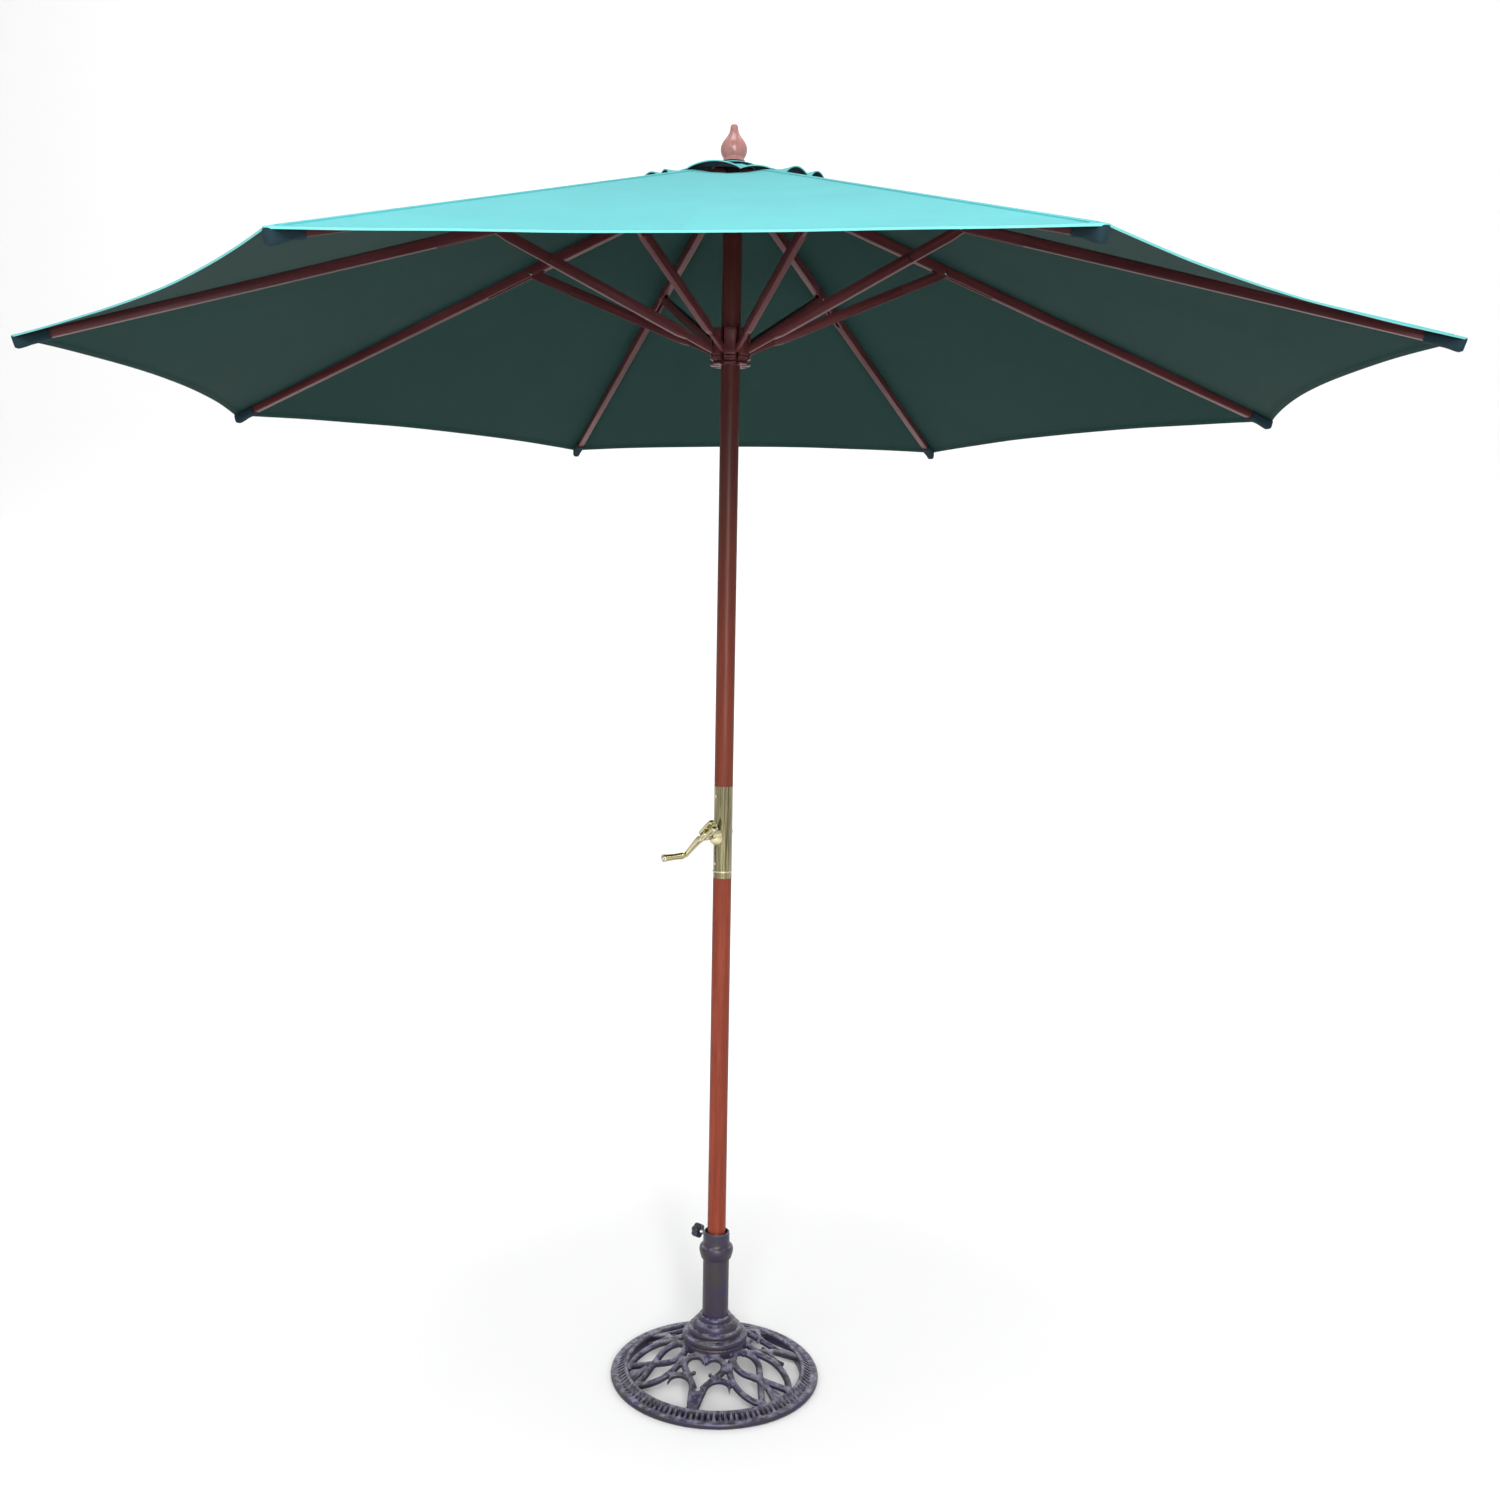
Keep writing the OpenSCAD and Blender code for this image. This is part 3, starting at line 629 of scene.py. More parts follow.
def make_rib(i, mats):
    """Square-edged hardwood rib with a routed slot for the strut, eased edges and pin heads."""
    half = RIB_H / 2
    low_tip = half - RIB_TIP_H
    m = rib_matrix(i)
    wood_mat = [mats["rib_wood"]]

    def low(x):
        """Underside of the tapering rib."""
        return -half + (low_tip + half) * (x - RIB_START) / (RIB_L - RIB_START)

    tongue = [(0.026, -0.008), (0.026, 0.008)] + half_circle(0, 0.008, math.pi / 2)
    slot_in, slot_out, roof = JOINT_X - 0.028, JOINT_X + 0.120, 0.007
    parts = [bar("rib_tongue", tongue, 0.009, wood_mat, m, 0.0008)]
    parts.append(bar("rib_inner", [(RIB_START, -half), (slot_in, low(slot_in)),
                                   (slot_in, half), (RIB_START, half)], RIB_W, wood_mat, m))
    parts.append(bar("rib_outer", [(slot_out, low(slot_out)), (RIB_L, low_tip), (RIB_L, half),
                                   (slot_out, half)], RIB_W, wood_mat, m))
    cheek = (RIB_W - SLOT_W) / 2
    start, stop, under_top = slot_in - 0.002, slot_out + 0.002, half - 0.0002
    for side in (-1, 1):
        place = m @ shift(0, side * (SLOT_W + cheek) / 2, 0)
        parts.append(bar("rib_cheek", [(start, low(slot_in)), (stop, low(slot_out)),
                                       (stop, half), (start, half)],
                         cheek, wood_mat, place, 0.0006))
    parts.append(bar("rib_roof", [(start, roof), (stop, roof), (stop, under_top),
                                  (start, under_top)], SLOT_W + 0.001, wood_mat, m, 0))
    rib = join(f"rib_{i}_wood", parts)
    own(rib, f"rib_body_{i}", [f"rib_{i}"])
    for side in (-1, 1):
        head = cylinder(f"rib_{i}_pin_head_{'ab'[side > 0]}", 0.0036, 0.0011, [mats["brass"]],
                        m @ shift(JOINT_X, side * RIB_W / 2, -0.003)
                        @ turn("X", -side * math.pi / 2), 24)
        own(head, f"rib_body_{i}")


def make_strut(i, mats):
    """Strut with a long tongue into the rib and a thinner one into the runner."""
    length = math.hypot(JOINT_R - STRUT_INNER_R, JOINT_Z - STRUT_INNER_Z)
    m = strut_matrix(i)
    wood_mat = [mats["rib_wood"]]
    half = STRUT_H / 2
    end = length - 0.062
    outer = half_circle(0, 0.008, math.pi / 2)
    outer += [(0.024, -half), (0.110, -half), (0.110, half), (0.024, half)]
    middle = [(0.108, -half), (end - 0.020, -half), (end, -0.007), (end, 0.007),
              (end - 0.020, half), (0.108, half)]
    inner = [(end - 0.002, -0.0066)] + half_circle(length, 0.0066, -math.pi / 2)
    inner += [(end - 0.002, 0.0066)]
    parts = [bar("strut_outer", outer, 0.007, wood_mat, m, 0.0007),
             bar("strut_middle", middle, 0.012, wood_mat, m, 0.0012),
             bar("strut_inner", inner, 0.007, wood_mat, m, 0.0007)]
    strut = join(f"strut_{i}_wood", parts)
    own(strut, f"strut_body_{i}", [f"strut_{i}"])
    pin_l = RIB_W - 0.0006
    pin = cylinder(f"strut_{i}_pin", 0.0025, pin_l, [mats["brass"]],
                   m @ shift(0, pin_l / 2, 0) @ turn("X", math.pi / 2), 24)
    own(pin, f"strut_body_{i}")


# ---------------------------------------------------------------- canopy

CLOTH = 0.0009
VENT_R = 0.178
HALF_STEP = RIB_STEP / 2
MID = math.cos(HALF_STEP)
RIDGE_LIFT = RIB_H / 2 / math.cos(RIB_SLOPE) + 0.0018
SAG = 0.0115
VENT_SAG = 0.0055
HEM_CUT = 0.050 / MID


def ridge_z(r):
    """Height of the cloth over a rib, at distance r from the pole."""
    return HUB_Z + RIDGE_LIFT - math.tan(RIB_SLOPE) * (r - HUB_R)


def panel_point(r, t):
    """Point of the cloth at rib distance r, from the rib (t = 0) to the panel's middle (1)."""
    ridge = Vector((r, 0, ridge_z(r)))
    middle = Vector((r * MID * MID, r * MID * math.sin(HALF_STEP), ridge_z(r)))
    p = ridge.lerp(middle, t)
    slope = math.atan(math.tan(RIB_SLOPE) / MID)
    normal = Vector((math.sin(slope) * MID, math.sin(slope) * math.sin(HALF_STEP),
                     math.cos(slope)))
    sag = SAG * (r / RIB_TIP_R) ** 1.3 + VENT_SAG * math.exp((VENT_R - r) / 0.10)
    sag *= math.sin(math.pi / 2 * t)
    return p - normal * sag, normal


def cloth_sheet(name, rows, columns, place, mats, hem_slot=0):
    """A closed thin sheet from place(row, column) -> (point, normal, extra thickness)."""
    top, bottom = [], []
    for i in range(rows):
        for j in range(columns):
            p, n, extra = place(i, j)
            top.append(p + n * (CLOTH + extra))
            bottom.append(p - n * extra)
    count = len(top)
    faces, slots = [], []
    for i in range(rows - 1):
        for j in range(columns - 1):
            a = i * columns + j
            faces.append((a, a + columns, a + columns + 1, a + 1))
            slots.append(hem_slot if i == rows - 2 else 0)
            # The underside faces take slot 1, which every caller fills with a painted-shade copy of
            # the cloth.
            faces.append((a + count, a + 1 + count, a + columns + 1 + count,
                          a + columns + count))
            slots.append(1)
    edge = list(range(columns))
    edge += [i * columns + columns - 1 for i in range(1, rows)]
    edge += [(rows - 1) * columns + j for j in range(columns - 2, -1, -1)]
    edge += [i * columns for i in range(rows - 2, 0, -1)]
    for k, a in enumerate(edge):
        b = edge[(k + 1) % len(edge)]
        faces.append((a, b, b + count, a + count))
        slots.append(hem_slot)
    piece = new_piece(name, top + bottom, faces, mats, slots)
    fix_normals(piece, weld=False)
    sharpen(piece, 60)
    return piece


def mirrored(side, *vectors):
    """The same vectors on the rib's left (side 1) or right (side -1)."""
    return [Vector((v.x, v.y * side, v.z)) for v in vectors]


def hang(piece, i, nodes=()):
    """Turns a piece of cloth to rib i, which carries it."""
    piece.matrix_world = turn("Z", azimuth(i))
    own(piece, f"rib_body_{i}", nodes)


def fold(piece):
    """Gives a cloth its own copy of its mesh."""
    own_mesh(piece)


def make_rib_tape(i, mats):
    """The strip of cloth sewn over the rib's seam, which keeps its width when folded."""
    half_width, lift, thicker = 0.0100, 0.0003, 0.0007
    across = np.linspace(-half_width, half_width, 9)
    along = np.linspace(0.018, 0.982, 60)

    def place(row, column):
        r = VENT_R + (RIB_TIP_R - VENT_R) * along[row]
        y = across[column]
        t = abs(y) / (r * math.sin(HALF_STEP))
        p, n = panel_point(r, t)
        return *mirrored(1 if y >= 0 else -1, p + n * (CLOTH + lift), n), thicker

    # Its underside takes the cloth's painted-shade copy.
    piece = cloth_sheet(f"canopy_{i}_rib_tape", len(along), len(across), place,
                        [mats["cloth_top"], mats["cloth_painted_shade"]])
    hang(piece, i)
    return piece


def make_panel(i, mats):
    """The cloth over one rib: half a panel on each side, with its rolled hem and rib seam."""
    tape = make_rib_tape(i, mats)
    hem_extra, seam_extra, ripple_depth = 0.0010, 0.0006, 0.0016
    along = [0.0, 0.0018, 0.0128, 0.0143] + list(np.linspace(0.03, 0.97, 84))
    along += [0.9857, 0.9872, 0.9960, 1.0]
    seam_edge, across_steps = (0.0, 0.0068, 0.0082), 26
    columns = 2 * (across_steps + len(seam_edge) - 1) + 1

    def place(row, column):
        k = abs(column - columns // 2)
        side = 1 if column >= columns // 2 else -1
        rough_r = VENT_R + (RIB_TIP_R - VENT_R) * along[row]
        half_width = rough_r * math.sin(HALF_STEP)
        if k < len(seam_edge):
            t = seam_edge[k] / half_width
        else:
            first = seam_edge[-1] / half_width
            t = first + (1 - first) * (k - len(seam_edge) + 1) / across_steps
        hem_r = RIB_TIP_R - HEM_CUT * (1 - (1 - t) ** 2)
        r = VENT_R + (hem_r - VENT_R) * along[row]
        p, n = panel_point(r, t)
        extra = seam_extra if k < 2 else 0.0
        if row < 3 or row >= len(along) - 3:
            extra += hem_extra
        ripple = noise.noise(Vector((r * 3.1, t * 2.3 * side + 7.7 * i, 4.2)))
        p = p + n * (ripple_depth * ripple * math.sin(math.pi * t))
        return *mirrored(side, p, n), extra

    # The panel's underside takes the cloth's painted-shade copy.
    piece = cloth_sheet(f"canopy_{i}_panel", len(along), columns, place,
                        [mats["cloth_top"], mats["cloth_underside_painted_shade"], mats["cloth_hem"]], 2)
    hang(piece, i, [f"canopy_{i}"])
    fold(piece)


FLAP_IN, FLAP_R, FLAP_Z = 0.046, 0.198, 2.475
# For each panel, the arches of the flap's hem: start and end (0 to 1 across), and rise.
FLAP_WAVES = [[(0.0, 0.55, 0.014), (0.60, 0.95, 0.008)], [(0.05, 0.50, 0.008), (0.5, 1, 0.012)],
              [(0.0, 0.62, 0.015), (0.62, 1.0, 0.009)], [(0.10, 0.40, 0.007), (0.4, 1, 0.013)],
              [(0.08, 0.47, 0.016), (0.47, 0.66, 0.012)], [(0.0, 0.65, 0.014), (0.65, 1, 0.005)],
              [(0.28, 0.69, 0.017), (0.69, 0.98, 0.019)], [(0.05, 0.60, 0.011), (0.6, 1, 0.006)]]


def flap_rise(panel, s):
    """Rise of the flap's hem above the canopy, s from 0 at one rib to 1 at the next."""
    for start, end, rise in FLAP_WAVES[panel % RIBS]:
        if start <= s < end:
            return rise * math.sin(math.pi * (s - start) / (end - start)) ** 0.75
    return 0.0


def make_flap(i, mats):
    """The vent flap's share over one rib, its hem lifting in uneven arches."""
    along = list(np.linspace(0.0, 0.93, 22)) + [0.937, 0.985, 1.0]
    columns = 41
    crown_r, dip, hem_extra = 0.021, 0.004, 0.0007
    inner_z, hem_z = FLAP_Z - 0.0035, ridge_z(FLAP_R) + 0.005
    normal = Vector((math.sin(RIB_SLOPE), 0, math.cos(RIB_SLOPE)))

    def place(row, column):
        v = along[row]
        across = 2 * column / (columns - 1) - 1
        side = 1 if across >= 0 else -1
        t = abs(across)
        r = FLAP_IN + (FLAP_R - FLAP_IN) * v
        p = Vector((r, 0, 0)).lerp(Vector((r * MID * MID, r * MID * math.sin(HALF_STEP), 0)), t)
        share = (r - crown_r) / (FLAP_R - crown_r)
        panel, s = (i - 1, t / 2) if side > 0 else (i - 2, 1 - t / 2)
        rise = flap_rise(panel, s) * v ** 2.2
        p.z = inner_z + (hem_z - inner_z) * share + rise - dip * math.sin(math.pi * share)
        extra = hem_extra if row >= len(along) - 3 else 0.0
        return *mirrored(side, p, normal), extra

    # Its underside takes the cloth's painted-shade copy.
    piece = cloth_sheet(f"vent_flap_{i}", len(along), columns, place,
                        [mats["cloth_top"], mats["cloth_painted_shade"], mats["cloth_hem"]], 2)
    hang(piece, i, [f"canopy_{i}"])
    fold(piece)


def make_crown(mats):
    """Cloth centre of the flap, gathered under the finial."""
    outline = raised(FLAP_Z, [
        (0.0035, 0.0002), (0.021, -0.0002), (0.034, -0.0040), (0.0475, -0.0085),
        (0.0475, -0.0097), (0.034, -0.0052), (0.0215, -0.0013), (0.0035, -0.0008)])
    crown = lathe("vent_crown_cloth", outline, [mats["cloth_top"]], 64, closed=True)
    own(crown, "pole", ["vent_crown"])


def make_tip_pocket(i, mats):
    """A sewn pocket of cloth that holds the rib's end under the canopy's corner."""
    length, beyond, rows, around, top = 0.062, 0.004, 12, 20, 0.0122
    verts = []
    for row in range(rows + 1):
        v = row / rows
        x = RIB_L + beyond - length * (1 - v)
        blunt = math.sqrt(1 - climb(v, 0.85, 0.15) ** 2)
        wide = (0.0105 - 0.002 * v) * (0.55 + 0.45 * blunt)
        drop = (0.0075 + 0.0035 * v ** 3) * (0.6 + 0.4 * blunt)
        for k, a in enumerate(angles(around)):
            c, s = math.cos(a), math.sin(a)
            sq = (abs(c) ** 4 + abs(s) ** 4) ** 0.25
            crease = 1 + 0.05 * math.sin(9 * v + 3 * k)
            z = 0.0008 + (s / sq * top if s > 0 else s / sq * drop * crease)
            verts.append((x, c / sq * wide * crease, z))
    faces = tube_walls(rows, around, caps=True)
    # The pocket takes the cloth's painted-shade copy, as it hangs in shade under the canopy's
    # corner.
    piece = new_piece(f"tip_pocket_{i}", verts, faces, [mats["cloth_painted_shade"]])
    fix_normals(piece)
    sharpen(piece, 60)
    piece.matrix_world = rib_matrix(i)
    own(piece, f"rib_body_{i}")


# ---------------------------------------------------------------- turned wood and hub


def slotted_turning(name, levels, r_in, slot_w, slot_r, mats):
    """A turned wooden ring, its outline given as (r, z), with a radial slot at each rib."""
    bore_steps, verts = 64, []

    def sector(r):
        """One rib's share of a level, as (radius, angle) from the middle of its slot."""
        cut = math.asin(slot_w / 2 / r)
        inner = math.asin(slot_w / 2 / slot_r)
        arc_points = [(r, a) for a in np.linspace(cut, RIB_STEP - cut, 10)]
        return [(slot_r, inner)] + arc_points + [(slot_r, RIB_STEP - inner)]

    count = RIBS * len(sector(levels[0][0]))
    for r, z in levels:
        for rib in range(RIBS):
            start = RIB_PHASE + rib * RIB_STEP
            verts += [(q * math.cos(start + a), q * math.sin(start + a), z) for q, a in sector(r)]
    base = len(verts)
    for z in (levels[0][1], levels[-1][1]):
        verts += [(r_in * math.cos(a), r_in * math.sin(a), z)
                  for a in np.linspace(0, math.tau, bore_steps, endpoint=False)]
    faces = tube_walls(len(levels) - 1, count) + tube_walls(1, bore_steps, base)
    piece = new_piece(name, verts, faces, mats)
    work = bmesh.new()
    work.from_mesh(piece.data)
    work.verts.ensure_lookup_table()
    ends = ((0, base), ((len(levels) - 1) * count, base + bore_steps))
    for outer_start, inner_start in ends:
        edges = []
        for start, number in ((outer_start, count), (inner_start, bore_steps)):
            ring = [work.verts[start + a] for a in range(number)]
            for a in range(number):
                pair = (ring[a], ring[(a + 1) % number])
                edges.append(work.edges.get(pair) or work.edges.new(pair))
        bmesh.ops.triangle_fill(work, use_beauty=True, use_dissolve=False, edges=edges)
    bmesh.ops.recalc_face_normals(work, faces=work.faces)
    work.to_mesh(piece.data)
    work.free()
    sharpen(piece, 34)
    return piece


def eased_wall(r, z0, z1, waist=0.0):
    """Outline of a turned wall with eased ends and a slight waist."""
    ease, steps = 0.0018, 10
    wall = [(r - ease, z0), (r - 0.3 * ease, z0 + 0.3 * ease)]
    for k in range(steps + 1):
        v = k / steps
        wall.append((r - waist * math.sin(math.pi * v) ** 2, z0 + ease + (z1 - z0 - 2 * ease) * v))
    return wall + [(r - 0.3 * ease, z1 - 0.3 * ease), (r - ease, z1)]


def make_hub_and_runner(mats):
    """The fixed hub of the ribs, and the runner with its turned collar."""
    turned = [mats["turned_wood"]]
    lo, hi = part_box("rib_hub")
    # The hub takes the painted-shade copy of the turned wood.
    hub = slotted_turning("rib_hub_turned", eased_wall(0.042, lo.z, hi.z), POLE_R + 0.0002,
                          0.0096, 0.0265, [mats["hub_wood_painted_shade"]])
    own(hub, "pole", ["rib_hub"])
    slot_w, slot_r, bore = 0.0080, 0.0235, POLE_R + 0.0004
    lo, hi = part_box("runner")
    runner = slotted_turning("runner_turned", eased_wall(0.040, lo.z, hi.z, 0.0016), bore,
                             slot_w, slot_r, turned)
    own(runner, "runner", ["runner"])
    lo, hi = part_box("runner_collar")
    outline = smooth_outline(raised(lo.z, [
        (0.0370, 0.0), (0.0393, 0.0008), (0.0400, 0.0024), (0.0390, 0.0042), (0.0352, 0.0052),
        (0.0338, 0.0075), (0.0346, 0.0103), (0.0372, 0.0118), (0.0396, 0.0128),
        (0.0400, 0.0146)]) + raised(hi.z, [(0.0392, -0.0006), (0.0372, 0.0)]), 3)
    collar = slotted_turning("runner_collar_turned", outline, bore, slot_w, slot_r, turned)
    own(collar, "runner", ["runner_collar"])


def make_finial(mats):
    """Turned onion finial on the flap's centre."""
    z = FLAP_Z + 0.002
    points = [(0.0215, 0.0), (0.0222, 0.0016), (0.0214, 0.0040), (0.0202, 0.0058),
              (0.0210, 0.0085), (0.0237, 0.0132), (0.0257, 0.0196), (0.0260, 0.0260),
              (0.0244, 0.0328), (0.0205, 0.0397), (0.0158, 0.0461), (0.0118, 0.0519),
              (0.0092, 0.0572), (0.0080, 0.0625), (0.0076, 0.0662), (0.0063, 0.0701),
              (0.0036, 0.0718), (0.0, 0.0720)]
    outline = [(0.0, z)] + smooth_outline(raised(z, points), 5)
    finial = lathe("finial_turned", outline, [mats["finial_wood"]], 96)
    sharpen(finial, 50)
    own(finial, "pole", ["finial"])


# ---------------------------------------------------------------- base


def squared(value):
    """A sine or cosine bulged towards a square, as a share of the section's width."""
    return math.copysign(abs(value) ** 0.75, value) / 2


def scroll_tube(name, path, width, height, mats, taper=(1.0, 1.0)):
    """A cast bar of rounded section that follows a flat path in its own plane."""
    count = len(path)
    section = [(squared(math.cos(a)), squared(math.sin(a)))
               for a in np.linspace(0, math.tau, 16, endpoint=False)]
    verts = []
    for k, (x, y) in enumerate(path):
        ahead, behind = path[min(k + 1, count - 1)], path[max(k - 1, 0)]
        direction = Vector((ahead[0] - behind[0], ahead[1] - behind[1], 0)).normalized()
        side = Vector((-direction.y, direction.x, 0))
        size = taper[0] + (taper[1] - taper[0]) * (k / (count - 1))
        verts += [Vector((x, y, s * height)) + side * (c * width * size) for c, s in section]
    piece = new_piece(name, verts, tube_walls(count - 1, len(section), caps=True), mats)
    fix_normals(piece)
    return piece


def arc(x, y, r, start, sweep, steps=24):
    """Points of an arc, in millimetres and degrees, returned in metres."""
    return [((x + r * math.cos(math.radians(start + sweep * k / steps))) * MM,
             (y + r * math.sin(math.radians(start + sweep * k / steps))) * MM)
            for k in range(steps + 1)]


def straight(start, end, steps=10):
    """Points of a straight bar, given in millimetres, returned in metres."""
    return [((start[0] + (end[0] - start[0]) * k / steps) * MM,
             (start[1] + (end[1] - start[1]) * k / steps) * MM) for k in range(steps + 1)]


def ball(name, x, y, r, mats):
    """A ball that ends a curl, placed in millimetres."""
    rows = 8
    outline = [(r * math.sin(math.pi * k / rows) * MM, -r * math.cos(math.pi * k / rows) * MM)
               for k in range(rows + 1)]
    return lathe(name, outline, mats, 20, shift(x * MM, y * MM, 0))


BAR_W, STEM_W, BAR_H = 0.0138, 0.0128, 0.0125


def heart_parts(mats):
    """A heart near the hub on a forked stem whose arms end in spurred curls."""
    parts = [scroll_tube("cusp", straight((15, 0), (29, 0)), 0.006, BAR_H, mats, (1.0, 0.2))]
    for side in (-1, 1):
        bars = [
            (arc(31, side * 19.5, 21.5, side * 43, side * 205), BAR_W, BAR_H, (1.0, 1.0)),
            (straight((46.7, side * 34.2), (85, side * 8)), STEM_W, BAR_H - 0.0006, (1.0, 1.0)),
            (straight((57, side * 26), (50, side * 17)), 0.0065, BAR_H - 0.001, (1.0, 0.6)),
            (arc(90.5, side * 42, 31, side * 137, side * 122), BAR_W, BAR_H - 0.0008, (0.8, 1.1)),
            (straight((84.6, side * 11.8), (142, side * 4.6)), STEM_W, BAR_H - 0.0008, (1.1, 1.0)),
            (straight((67.5, side * 60), (61, side * 71)), 0.0070, BAR_H - 0.0014, (1.0, 0.15)),
            (straight((67.5, side * 61), (85, side * 65)), 0.0070, BAR_H - 0.0014, (1.0, 0.15))]
        for path, width, height, taper in bars:
            parts.append(scroll_tube("bar", path, width, height, mats, taper))
        parts.append(ball("curl", 50, side * 17, 4.8, mats))
        parts.append(ball("curl", 68, side * 61.5, 5.6, mats))
    parts.append(scroll_tube("stem", straight((93, 0), (142, 0)), 0.015, BAR_H - 0.001, mats))
    return parts


def oval_parts(mats):
    """Two leaves that cross, each with a round inner side and a long outer side."""
    parts = []
    for side in (-1, 1):
        height = BAR_H - 0.001 * (side < 0)
        for path in (arc(79.5, side * -5, 67.5, side * 32, side * 134, 36),
                     arc(39, side * 5, 32, side * 160, side * 150, 32),
                     straight((59.6, side * -19.5), (139, side * 47))):
            parts.append(scroll_tube("leaf", path, BAR_W, height, mats))
    parts.append(scroll_tube("foot", straight((100, 0), (141, 0)), 0.012, BAR_H - 0.002, mats,
                             (0.7, 3.2)))
    parts.append(ball("knob", 102, 0, 5.6, mats))
    return parts


def make_scrolls(mats):
    """Three hearts and three pairs of leaves, cast in one with the plate under the bell."""
    iron = [mats["cast_iron"]]
    front_heart, tilt = -101, math.radians(25)
    parts = []
    for third in range(3):
        for offset, build in ((0, heart_parts), (60, oval_parts)):
            direction = math.radians(front_heart + 120 * third + offset)
            place = turn("Z", direction) @ shift(0.056, 0, 0.073) @ turn("Y", tilt)
            for part in build(iron):
                part.matrix_world = place @ part.matrix_world
                parts.append(part)
    plate = smooth_outline([(0.0043, 0.064), (0.0043, 0.064), (0.0610, 0.064), (0.0646, 0.0675),
                            (0.0660, 0.0745), (0.0655, 0.0815), (0.0620, 0.0838),
                            (0.0043, 0.0838), (0.0043, 0.0838)], 4)
    parts.append(lathe("plate", plate, iron, 96, closed=True))
    bpy.context.view_layer.update()
    scrolls = join("base_scrolls", parts)
    remesh = scrolls.modifiers.new("remesh", "REMESH")
    remesh.mode = "VOXEL"
    remesh.voxel_size = 0.0017
    relax = scrolls.modifiers.new("relax", "SMOOTH")
    relax.iterations = 5
    relax.factor = 0.5
    apply_modifiers(scrolls)
    smooth_faces(scrolls)
    own(scrolls, "base", ["base_casting"])


FLUTES, SHALLOW = 108, 0.0008
# Outline of the base ring: radius, height, and how deep a flute cuts into that point.
RING = [(0.1800, 0.0008, 0.0), (0.1797, 0.0100, 0.0), (0.1803, 0.0185, 0.0),
        (0.1830, 0.0222, 0.0), (0.1860, 0.0231, 0.0), (0.1882, 0.0228, SHALLOW),
        (0.1898, 0.0219, 0.0030), (0.1930, 0.0198, 0.0054), (0.1985, 0.0163, 0.0054),
        (0.2015, 0.0144, 0.0030), (0.2036, 0.0131, SHALLOW), (0.2065, 0.0130, 0.0),
        (0.2105, 0.0139, 0.0), (0.2145, 0.0130, 0.0), (0.2170, 0.0100, 0.0),
        (0.2178, 0.0060, 0.0), (0.2165, 0.0022, 0.0), (0.2110, 0.0, 0.0), (0.1815, 0.0, 0.0)]


def flute(a):
    """The flutes' wave round the ring: 0 on a rib, 1 in the middle of a groove."""
    return 0.5 - 0.5 * math.cos(FLUTES * a)


def make_ring(mats):
    """The base's outer ring, with painted shade in the grooves of its fluted band."""
    around = FLUTES * 12
    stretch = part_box("base_casting")[1].x / max(r for r, z, depth in RING)
    verts, slots = [], []
    for a in angles(around):
        for r, z, depth in RING:
            verts.append((r * stretch * math.cos(a), r * stretch * math.sin(a),
                          z - depth * flute(a) ** 2.2))
        # Painted shade: the deep middle of each groove takes the darkened iron.
        in_shaded_groove = flute(a + math.pi / around) > 0.55
        slots += [int(in_shaded_groove and min(here[2], after[2]) > SHALLOW)
                  for here, after in zip(RING, RING[1:] + RING[:1])]
    faces = turned_faces(around, len(RING), closed=True)
    ring = new_piece("base_ring", verts, faces, [mats["iron_tube"], mats["iron_groove_painted_shade"]], slots)
    fix_normals(ring)
    own(ring, "base", ["base_casting"])


def make_column(mats):
    """Bell cover and socket collar, each with the soft edges of a casting."""
    iron = [mats["iron_tube"]]
    inner, bore = 0.0273, 0.0241
    bell = smooth_outline(raised(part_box("bell_cover")[0].z, [
        (inner, 0), (inner, 0), (0.0640, 0), (0.0668, 0.0015), (0.0679, 0.0050),
        (0.0674, 0.0095), (0.0650, 0.0126), (0.0610, 0.0138), (0.0562, 0.0140),
        (0.0562, 0.0140), (0.0552, 0.0158), (0.0552, 0.0158), (0.0566, 0.0185),
        (0.0564, 0.0225), (0.0540, 0.0255), (0.0502, 0.0266), (0.0478, 0.0268),
        (0.0478, 0.0268), (0.0474, 0.0300), (0.0455, 0.0350), (0.0415, 0.0392),
        (0.0366, 0.0412), (0.0350, 0.0414), (0.0350, 0.0414), (0.0352, 0.0460),
        (0.0332, 0.0500), (0.0300, 0.0516), (inner, 0.0518), (inner, 0.0518)]), 4)
    own(lathe("bell_cover_cast", bell, iron, 128, closed=True), "base",
        ["bell_cover"])
    lo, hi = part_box("socket_collar")
    bead = raised(lo.z, [
        (inner, 0), (inner, 0), (0.0300, 0), (0.0316, 0.0010), (0.0330, 0.0060),
        (0.0344, 0.0110), (0.0353, 0.0165), (0.0350, 0.0215), (0.0335, 0.0255),
        (0.0308, 0.0280), (0.0290, 0.0300), (0.0280, 0.0330), (0.0275, 0.0380)])
    rim = raised(hi.z, [(0.0274, -0.0060), (0.0274, -0.0014), (0.0268, -0.0003), (0.0258, 0),
                        (0.0246, -0.0002), (bore, -0.0010)])
    inside = raised(lo.z, [(bore, 0.0125), (bore, 0.0122), (inner, 0.0122), (inner, 0.0120)])
    collar = smooth_outline(bead + rim + inside, 4)
    own(lathe("socket_collar_cast", collar, iron, 96, closed=True), "base",
        ["socket_collar"])


# ---------------------------------------------------------------- clamp


def joint_frame(name, towards=(0, 0, 1)):
    """Matrix at a joint: local Z along its axis, local X as near as may be to towards."""
    joint = JOINTS[name]
    z = Vector(joint["axis"]).normalized()
    x = Vector(towards)
    x = (x - z * x.dot(z)).normalized()
    return axes(x, z.cross(x), z, joint["pos_m"])


